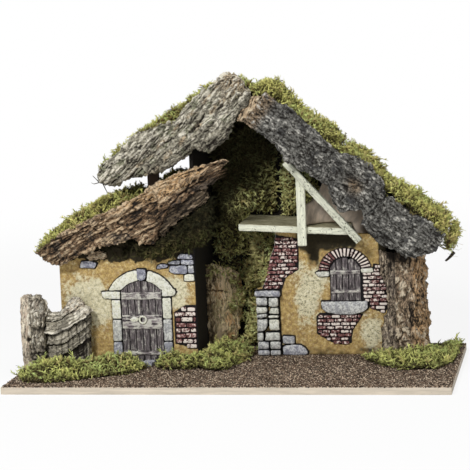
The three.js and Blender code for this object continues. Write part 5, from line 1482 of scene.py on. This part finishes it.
class STABLE_OT_castings(Operator):
    """Mould and paint the annex front and the cave front."""
    bl_idname = "stable.castings"
    bl_label = "Castings"

    def execute(self, context):
        materials = CastingMaterials(context.scene.stable_colours)
        cell = context.scene.stable_sizes.panel_cell
        self.annex(materials, cell, random.Random(21))
        self.cave(materials, cell, random.Random(22))
        return {"FINISHED"}

    def annex(self, materials, cell, rng):
        """The annex front: its plaster, stones, bricks and door."""
        stones = annex_stones()
        bricks = brick_outlines(ANNEX_PATCH, *ANNEX_BRICK, rng)
        doorway = mirrored_arch(DOOR_X, DOOR_ARCH_Z, DOOR_ARCH, GROUND, DOOR_HALF)
        top = annex_roof_under(ANNEX_ROOF_X)
        outline = [
            (ANNEX_LEFT, GROUND), (ANNEX_RIGHT, GROUND), (ANNEX_RIGHT, top), (ANNEX_ROOF_X, top),
            (ANNEX_LEFT, annex_roof_under(ANNEX_LEFT)),
        ]
        marks = [shape for shape, _, _ in stones]
        panel = cast_panel(outline, ANNEX_FRONT, ANNEX_THICK, marks, [ANNEX_PATCH, doorway], cell)
        add_tones(panel, self.annex_eave_shadow, ANNEX_CREAM)
        add_piece("annex_front_plaster", panel, materials.annex_stucco, ("annex_facade",))
        self.raised("annex_front_stones", stones, ANNEX_FRONT, materials.stone, rng)
        toned = [(shape, 0.5 if shape[0][1] < 60 else 0.85) for shape in bricks]
        self.bricks("annex_front_bricks", toned, ANNEX_FRONT, materials.brick, rng)
        self.door(materials, rng)

    def door(self, materials, rng):
        """The door's planks, battens and strap, and its ring on a leaf-shaped plate."""
        planks = relief_bmesh()
        for plank in leaf_planks(DOOR_X, DOOR_HALF, 6, GROUND + 0.5, DOOR_ARCH_Z, DOOR_ARCH - 0.5):
            add_raised(planks, plank, ANNEX_FRONT, 1.2, rng, edge=0.7, wobble=0.15, turn=90)
        disc = arc_stone((DOOR_X + 1, GROUND + RING_HEIGHT), 0.4, 5.6, 0, math.tau * 0.98)
        add_raised(planks, disc, ANNEX_FRONT - 2.5, 0.4, rng, edge=0.3, wobble=0.0)
        add_piece("door_planks", planks, materials.plank, smooth=False)
        battens = relief_bmesh()
        left, right = DOOR_X - DOOR_HALF + 0.8, DOOR_X + DOOR_HALF - 0.8
        for low, high in DOOR_BATTENS:
            batten = rectangle(left, GROUND + low, right, GROUND + high)
            add_raised(battens, batten, ANNEX_FRONT, 2.6, rng, edge=0.8)
        strap = rectangle(DOOR_X - 4.6, GROUND + 59, DOOR_X - 2.2, GROUND + 75)
        add_raised(battens, strap, ANNEX_FRONT, 2.0, rng, edge=0.6, wobble=0.2, turn=90)
        add_piece("door_battens", battens, materials.batten)
        plate = relief_bmesh()
        leaf = from_place(DOOR_X, GROUND, [(-15, 53), (-11, 50), (-5, 51), (-4, 55), (-10, 56)])
        add_raised(plate, leaf, ANNEX_FRONT - 2.0, 1.0, rng, edge=0.6, tone=0.0)
        add_ring(plate, DOOR_X + 1, ANNEX_FRONT - 3.4, GROUND + RING_HEIGHT, 4.0, 1.15)
        add_piece("door_ring", plate, materials.stone)

    def cave(self, materials, cell, rng):
        """The cave front: its plaster, stones, bricks and window."""
        stones = cave_stones()
        patches = [brick_outlines(patch, *CAVE_BRICK, rng) for patch in CAVE_PATCHES]
        loft_foot = PIER_LEFT + RAGGED_RIM[-1][0]
        outline = [
            (PIER_LEFT, GROUND), (CAVE_RIGHT, GROUND), (CAVE_RIGHT, loft_under(CAVE_RIGHT)),
            (loft_foot, loft_under(loft_foot)), *reversed(from_place(PIER_LEFT, GROUND, RAGGED_RIM)),
        ]
        leaf = mirrored_arch(WINDOW_X, WINDOW_SPRING, WINDOW_HALF, WINDOW_SILL, WINDOW_HALF, WINDOW_SQUASH)
        halo = mirrored_arch(
            WINDOW_X, WINDOW_SPRING, WINDOW_ARCH, WINDOW_SPRING - 1, WINDOW_ARCH, WINDOW_SQUASH)
        marks = [shape for shape, _, _ in stones]
        panel = cast_panel(outline, CAVE_FRONT, CAVE_THICK, marks, [*CAVE_PATCHES, leaf, halo], cell)
        add_tones(panel, self.cave_shade, CAVE_CREAM)
        add_piece("cave_front_plaster", panel, materials.cave_stucco, ("cave_facade",))
        self.raised("cave_front_stones", stones, CAVE_FRONT, materials.stone, rng)
        toned = [(shape, tone) for patch, tone in zip(patches, CAVE_PATCH_TONES) for shape in patch]
        self.bricks("cave_front_bricks", toned + window_arch(), CAVE_FRONT, materials.brick, rng)
        self.window(materials, rng)

    def window(self, materials, rng):
        """The shutter's planks and battens."""
        planks = relief_bmesh()
        for plank in leaf_planks(
                WINDOW_X, WINDOW_HALF, 5, WINDOW_SILL, WINDOW_SPRING, WINDOW_HALF - 0.2, WINDOW_SQUASH):
            add_raised(planks, plank, CAVE_FRONT, 1.2, rng, edge=0.7, wobble=0.15, turn=90)
        add_piece("window_planks", planks, materials.plank, smooth=False)
        battens = relief_bmesh()
        left, right = WINDOW_X - WINDOW_HALF + 0.6, WINDOW_X + WINDOW_HALF - 0.6
        for low, high in WINDOW_BATTENS:
            batten = rectangle(left, WINDOW_SILL + low, right, WINDOW_SILL + high)
            add_raised(battens, batten, CAVE_FRONT, 2.4, rng, edge=0.7)
        add_piece("window_battens", battens, materials.batten)

    @staticmethod
    def annex_eave_shadow(x, z):
        """Painted shadow of the eave, deepest to the left of the moss."""
        level = z + 7 * noise.noise(Vector((x / 8, z / 8, 0))) + 3 * noise.noise(Vector((x / 3, z / 3, 2)))
        return 1.2 * ramp(level, 126, 134) * ramp(x, -192, -174) + 1.2 * ramp(level, 132, 138)

    @staticmethod
    def cave_shade(x, z):
        """Painted shade under the loft board, beside the arch and in the upper right corner, and a darker
        band along the foot.
        """
        under_loft = ramp(z, 124, 142) * ramp(x, 54, 70) * (1 - ramp(x, 126, 138))
        beside_arch = 0.6 * ramp(z, 104, 118) * ramp(x, 68, 80) * (1 - ramp(x, 84, 92))
        corner = 1.1 * ramp(x, 154, 160) * ramp(z, 104, 118)
        return under_loft + beside_arch + corner + 0.45 * (1 - ramp(z, 14, 26))

    @staticmethod
    def raised(name, stones, face, material, rng):
        """Cast stones, each with its own tone and relief."""
        bm = relief_bmesh()
        for outline, tone, relief in stones:
            tone = unit(tone + rng.uniform(-0.08, 0.08))
            add_raised(bm, rounded(outline, 1.2), face, relief, rng, edge=0.8, wobble=0.35, tone=tone)
        add_piece(name, bm, material)

    @staticmethod
    def bricks(name, bricks, face, material, rng):
        """Cast bricks of one relief, each with its own tone."""
        bm = relief_bmesh()
        for outline, tone in bricks:
            tone = unit(tone + rng.uniform(-0.35, 0.35))
            add_raised(bm, rounded(outline, 0.9), face, 2.0, rng, edge=0.7, wobble=0.2, tone=tone, step=4)
        add_piece(name, bm, material)


# Timber and boards

# Turn of the grain of each piece of loft wood, in degrees, and whether it is worn
LOFT_WOOD = (("loft_board", -3.1, False), ("loft_post", 90, False), ("loft_rafter", -48.3, True))
TIMBER_CELL = 0.0011


class STABLE_OT_loft(Operator):
    """Dress the loft's whitewashed floor board, post and rafter."""
    bl_idname = "stable.loft"
    bl_label = "Loft"

    def execute(self, context):
        timber = tuple(context.scene.stable_colours.timber)
        clean = self.timber_material("whitewashed_timber", timber, 0.43)
        worn = self.timber_material("worn_timber", scaled(timber, 0.85), 0.48)
        for name, turn, is_worn in LOFT_WOOD:
            bm = even_grid(node_shape(name), TIMBER_CELL)
            grain = add_grain(bm, turn)
            level = bm.verts.layers.float.new("level")
            for vert in bm.verts:
                place = vert[grain] / MM
                wear = 0.45 * noise.noise(Vector((place.x / 14, place.y / 3, place.z / 3)))
                vert[level] = ramp(vert.normal.z, 0.5, 0.9) if name == "loft_board" else 0.0
                vert.co += vert.normal * (wear + 0.2 * noise.noise(place / 2) - 0.1) * MM
            add_piece(name + "_dressed", bm, worn if is_worn else clean, (name,))
        return {"FINISHED"}

    @staticmethod
    def timber_material(name, body, specked):
        """Whitewash with dark specks and hair cracks along the grain, greyer with darker grain where it lies
        level.
        """
        speck, dark_grain, pale_grain = (0.06, 0.06, 0.035), (0.20, 0.18, 0.10), (0.54, 0.50, 0.33)
        shader = Shader(name)
        streaks = shader.noise(0.0020, 4.0, shader.grain(7.0), 0.7)
        specks = shader.noise(0.0019, 4.0, shader.grain(1.8), 0.75)
        cloud = shader.noise(0.016, 3.0)
        face = shader.mix(streaks.between(0.35, 0.65), scaled(body, 0.80), scaled(body, 1.08))
        face = shader.mix(specks.between(specked, specked - 0.07) * cloud.between(0.40, 0.55), face, speck)
        level_grey = shader.mix(streaks.between(0.38, 0.62), dark_grain, pale_grain)
        face = shader.mix(shader.attribute("level"), face, level_grey)
        return shader.finish(face, 0.8, streaks + specks, 0.0007)


PLAIN_BOARDS = (
    "annex_side_wall", "cave_left_wall", "right_side_wall", "back_panel", "annex_roof_board",
    "main_roof_board_left", "main_roof_board_right", "roof_prop",
)
STEP_CELL = 0.001


class STABLE_OT_boards(Operator):
    """Stain the plain boards of the sides, the back and the roofs, and cast the door step."""
    bl_idname = "stable.boards"
    bl_label = "Boards and step"

    def execute(self, context):
        tones = context.scene.stable_colours
        board = self.board_material(tones.board)
        for name in PLAIN_BOARDS:
            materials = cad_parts[name].data.materials
            materials.clear()
            materials.append(board)
        bm = even_grid(node_shape("door_step"), STEP_CELL)
        tone = bm.verts.layers.float.new("tone")
        front = bm.verts.layers.float.new("front")
        for vert in bm.verts:
            vert[tone] = 0.9
            vert[front] = 0.9
            vert.co += vert.normal * 0.5 * MM * noise.noise(vert.co / (4 * MM))
        stone = CastingMaterials.stone_material(tones)
        add_piece("door_step_dressed", bm, stone, ("door_step",))
        return {"FINISHED"}

    @staticmethod
    def board_material(body):
        """Brown stain over pressed board, with faint streaks, and painted shade, nearly black, inside the
        cave.
        """
        shader = Shader("stained_board")
        streaks = shader.noise(0.004, 4.0, shader.drawn_out(0.15), 0.6)
        fibres = shader.noise(0.0012, 3.0)
        face = shader.mix(streaks.between(0.35, 0.7), scaled(body, 0.75), scaled(body, 1.25))
        face = shader.mix(fibres.between(0.6, 0.75) * 0.4, face, scaled(body, 2.0))
        # Painted shade: nearly black on the boards inside the cave.
        across, back, _ = shader.axes()
        inside = across.between(-0.0560, -0.0550) * across.between(0.1990, 0.1980)
        inside = inside * back.between(0.1165, 0.1155)
        face = shader.mix(inside, face, (0.007, 0.005, 0.003))
        return shader.finish(face, 0.8, fibres, 0.0002)


# Ground

# Loose grains on the yard, and along each of the board's two seen edges
YARD_GRAINS, EDGE_GRAINS = 13500, 900
# The grit bed's grid, and how much taller the bed is while the grid is made
BED_CELL, BED_STRETCH = 0.0026, 4


class STABLE_OT_ground(Operator):
    """Make the base board and the yard of glued grit."""
    bl_idname = "stable.ground"
    bl_label = "Base and grit"

    def execute(self, context):
        tones = context.scene.stable_colours
        self.base(tones.base)
        self.bed(tones.grit, tones.grit_light)
        self.grains(tones.grit, tones.grit_light, context.scene.stable_sizes.grain)
        return {"FINISHED"}

    @staticmethod
    def base(body):
        """The base board, with its sharp edges broken."""
        shader = Shader("sawn_base_edge")
        streaks = shader.noise(0.003, 4.0, shader.drawn_out(0.08), 0.6)
        specks = shader.noise(0.002, 3.0)
        face = shader.mix(streaks.between(0.3, 0.7), scaled(body, 0.85), scaled(body, 1.1))
        face = shader.mix(specks.between(0.33, 0.26) * 0.7, face, (0.14, 0.10, 0.07))
        material = shader.finish(face, 0.75, streaks, 0.0002)
        bm = node_shape("base_board")
        bmesh.ops.dissolve_limit(bm, angle_limit=0.01, verts=bm.verts, edges=bm.edges)
        bmesh.ops.bevel(
            bm, geom=bm.edges[:], offset=0.5 * MM, affect="EDGES", segments=2, profile=0.5, material=-1)
        add_piece("base_board_dressed", bm, material, ("base_board",), smooth=False)

    @staticmethod
    def grit_material(name, dark, light, share):
        """Dark grit with tan grains."""
        shader = Shader(name)
        grains = shader.noise(0.0021, 2.0, None, 0.8)
        coarse = shader.noise(0.0042, 3.0, None, 0.7)
        face = shader.mix(coarse.between(0.42, 0.58), scaled(dark, 0.3), scaled(dark, 1.9))
        face = shader.mix(grains.between(0.55, 0.63) * share, face, light)
        return shader.finish(face, 0.95, grains, 0.0012)

    def bed(self, dark, light):
        """The glued bed: an uneven slab with a crumbled rim, stretched upwards while its grid is made."""
        bm = node_shape("ground_grit")
        stretch = Matrix.Scale(BED_STRETCH, 4, (0, 0, 1))
        bm.transform(stretch)
        bm = even_grid(bm, BED_CELL)
        bm.transform(stretch.inverted())
        bm.normal_update()
        for vert in bm.verts:
            lump = noise.fractal(vert.co / (4 * MM), 0.8, 2.0, 3)
            if vert.normal.z > 0.4:
                vert.co.z += 0.5 * MM * lump
            elif abs(vert.normal.z) < 0.6:
                vert.co += vert.normal * 0.7 * MM * lump
        add_piece("grit_bed", bm, self.grit_material("grit_bed", dark, light, 0.9), ("ground_grit",))

    def grains(self, dark, light, size):
        """Loose grains over the yard and along the board's edges."""
        shader = Shader("grit_grains")
        shade = shader.attribute("shade")
        face = shader.mix(shade.between(0.20, 0.60), scaled(dark, 0.3), scaled(dark, 2.2))
        face = shader.mix(shade.between(0.70, 0.80), face, light)
        material = shader.finish(face, 0.9)
        rng = random.Random(31)
        shapes = [self.grain_shape(rng) for _ in range(4)]
        low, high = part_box("ground_grit")
        bm = copies_bmesh()
        for _ in range(YARD_GRAINS):
            x, y = rng.uniform(low[0], high[0]), rng.uniform(low[1], 0.055)
            if x > -0.05 or y < 0.0:
                self.drop(bm, rng, shapes, (x, y, high[2] + 0.0001), size)
        for _ in range(EDGE_GRAINS):
            x = rng.uniform(low[0], high[0])
            front = (x, low[1] - rng.uniform(0, 0.0012), high[2] - 0.0008)
            self.drop(bm, rng, shapes, front, size)
            side = (high[0] + rng.uniform(0, 0.001), rng.uniform(low[1], high[1]), high[2] - 0.0008)
            self.drop(bm, rng, shapes, side, size)
        add_piece("grit_grains", bm, material, smooth=False)

    @staticmethod
    def drop(bm, rng, shapes, spot, size):
        """Lays one grain at a spot."""
        turn = Matrix.Rotation(rng.uniform(0, math.tau), 4, "Z")
        turn = turn @ Matrix.Rotation(rng.uniform(-0.6, 0.6), 4, "X")
        lie = Matrix.Translation(spot) @ turn @ Matrix.Scale(size * rng.uniform(0.5, 1.4), 4)
        add_copy(bm, rng.choice(shapes), lie, rng.random())

    @staticmethod
    def grain_shape(rng):
        """A crumb of eight faces."""
        bm = copies_bmesh()
        bmesh.ops.create_uvsphere(bm, u_segments=4, v_segments=2, radius=0.55)
        for vert in bm.verts:
            vert.co *= rng.uniform(0.6, 1.2)
        return finished_mesh("grain", bm)


# Stage

def seen_ray(shader):
    """1 for a ray from the camera, or for one that metal or glass sends on."""
    path = shader.node("ShaderNodeLightPath", {}, {})
    seen = path.out("Is Camera Ray") + path.out("Is Glossy Ray") + path.out("Is Transmission Ray")
    return seen.between(0.0, 1.0)


# Name, place, size in metres and power of each soft lamp
LAMPS = (
    ("key", (-0.6, -2.2, 1.8), 0.5, 49),
    ("fill", (1.9, -1.9, 0.8), 1.6, 8),
    ("top", (0.1, -0.1, 2.3), 1.2, 20),
)
# The photograph's width and its camera's focal length, in pixels
PICTURE_WIDTH, FOCAL_LENGTH = 470, 2000
# The camera's place in metres, and its yaw, pitch and roll in degrees, fitted to the base board's corners
CAMERA_PLACE = (0.4123, -2.2122, 0.4755)
CAMERA_TURNS = (10.57, 8.02, -2.29)
# The width in millimetres that the lens is measured for
SENSOR = 36


class STABLE_OT_stage(Operator):
    """Set the pale floor, the soft light and the camera of the photograph."""
    bl_idname = "stable.stage"
    bl_label = "Stage"

    def execute(self, context):
        scene = context.scene
        scene.view_settings.view_transform = "Standard"
        self.floor()
        self.world(scene)
        for lamp in LAMPS:
            self.lamp(*lamp)
        self.camera(scene)
        return {"FINISHED"}

    @staticmethod
    def floor():
        """A wide floor, white where the camera or a reflection sees it, that takes the stable's shadow."""
        bm = bmesh.new()
        bmesh.ops.create_grid(bm, x_segments=2, y_segments=2, size=60)
        mesh = finished_mesh("floor", bm)
        floor = bpy.data.objects.new("floor", mesh)
        bpy.context.collection.objects.link(floor)
        shader = Shader("floor")
        matt = shader.node("ShaderNodeBsdfDiffuse", {}, {"Color": (0.9, 0.9, 0.9)}).out()
        white = shader.node("ShaderNodeEmission", {}, {"Color": (1, 1, 1), "Strength": 1.0}).out()
        away = shader.node("ShaderNodeVectorMath", {"operation": "LENGTH"}, {0: shader.place}).out("Value")
        share = seen_ray(shader) * (away.between(0.4, 1.6) * 0.16 + 0.84)
        both = shader.node("ShaderNodeMixShader", {}, {0: share, 1: matt, 2: white}).out()
        shader.node("ShaderNodeOutputMaterial", {}, {"Surface": both})
        mesh.materials.append(shader.material)

    @staticmethod
    def world(scene):
        """Pale light from all round, white where the camera or a reflection sees it."""
        world = bpy.data.worlds.new("studio")
        world.use_nodes = True
        shader = Shader("studio", world)
        light = shader.node("ShaderNodeBackground", {}, {"Color": (1, 1, 1), "Strength": 0.17}).out()
        white = shader.node("ShaderNodeBackground", {}, {"Color": (1, 1, 1), "Strength": 1.0}).out()
        both = shader.node("ShaderNodeMixShader", {}, {0: seen_ray(shader), 1: light, 2: white}).out()
        shader.node("ShaderNodeOutputWorld", {}, {"Surface": both})
        scene.world = world

    @staticmethod
    def lamp(name, place, size, power):
        """A square soft lamp that faces the stable."""
        light = bpy.data.lights.new(name, "AREA")
        light.size = size
        light.energy = power
        lamp = bpy.data.objects.new(name, light)
        aim = Vector((0, 0, 0.12)) - Vector(place)
        lamp.matrix_world = Matrix.Translation(place) @ aim.to_track_quat("-Z", "Y").to_matrix().to_4x4()
        bpy.context.collection.objects.link(lamp)

    @staticmethod
    def camera(scene):
        """The photograph's long lens."""
        yaw, pitch, roll = (math.radians(turn) for turn in CAMERA_TURNS)
        ahead = Vector((-math.sin(yaw) * math.cos(pitch), math.cos(yaw) * math.cos(pitch), -math.sin(pitch)))
        side = ahead.cross(Vector((0, 0, 1))).normalized()
        up = side.cross(ahead)
        right = math.cos(roll) * side + math.sin(roll) * up
        above = math.cos(roll) * up - math.sin(roll) * side
        lens = bpy.data.cameras.new("camera")
        lens.sensor_width = SENSOR
        lens.lens = SENSOR * FOCAL_LENGTH / PICTURE_WIDTH
        lens.clip_end = 50
        camera = bpy.data.objects.new("camera", lens)
        turned = Matrix((right, above, -ahead)).transposed()
        camera.matrix_world = Matrix.Translation(CAMERA_PLACE) @ turned.to_4x4()
        bpy.context.collection.objects.link(camera)
        scene.camera = camera


class STABLE_PT_panel(Panel):
    """Lists the stable's pieces, sizes and colours."""
    bl_idname = "STABLE_PT_panel"
    bl_label = "Nativity stable"
    bl_space_type = "VIEW_3D"
    bl_region_type = "UI"
    bl_category = "Stable"

    def draw(self, context):
        column = self.layout.column(align=True)
        for operator in OPERATORS:
            column.operator(operator.bl_idname)
        for group in (context.scene.stable_sizes, context.scene.stable_colours):
            box = self.layout.box().column(align=True)
            for name in group.__annotations__:
                box.prop(group, name)


OPERATORS = (
    STABLE_OT_ground, STABLE_OT_boards, STABLE_OT_castings, STABLE_OT_loft, STABLE_OT_roof_bark,
    STABLE_OT_standing_bark, STABLE_OT_moss, STABLE_OT_loose_bits, STABLE_OT_stage,
)
CLASSES = (StableColours, StableSizes, *OPERATORS, STABLE_PT_panel)


def register():
    """Registers the classes, and gives every scene the sizes and colours."""
    for item in CLASSES:
        bpy.utils.register_class(item)
    bpy.types.Scene.stable_colours = PointerProperty(type=StableColours)
    bpy.types.Scene.stable_sizes = PointerProperty(type=StableSizes)


def unregister():
    """Takes back what register did."""
    del bpy.types.Scene.stable_sizes
    del bpy.types.Scene.stable_colours
    for item in reversed(CLASSES):
        bpy.utils.unregister_class(item)


def main():
    """Dresses the stable piece by piece."""
    register()
    for operator in OPERATORS:
        group, name = operator.bl_idname.split(".")
        getattr(getattr(bpy.ops, group), name)()


if __name__ == "__main__":
    main()
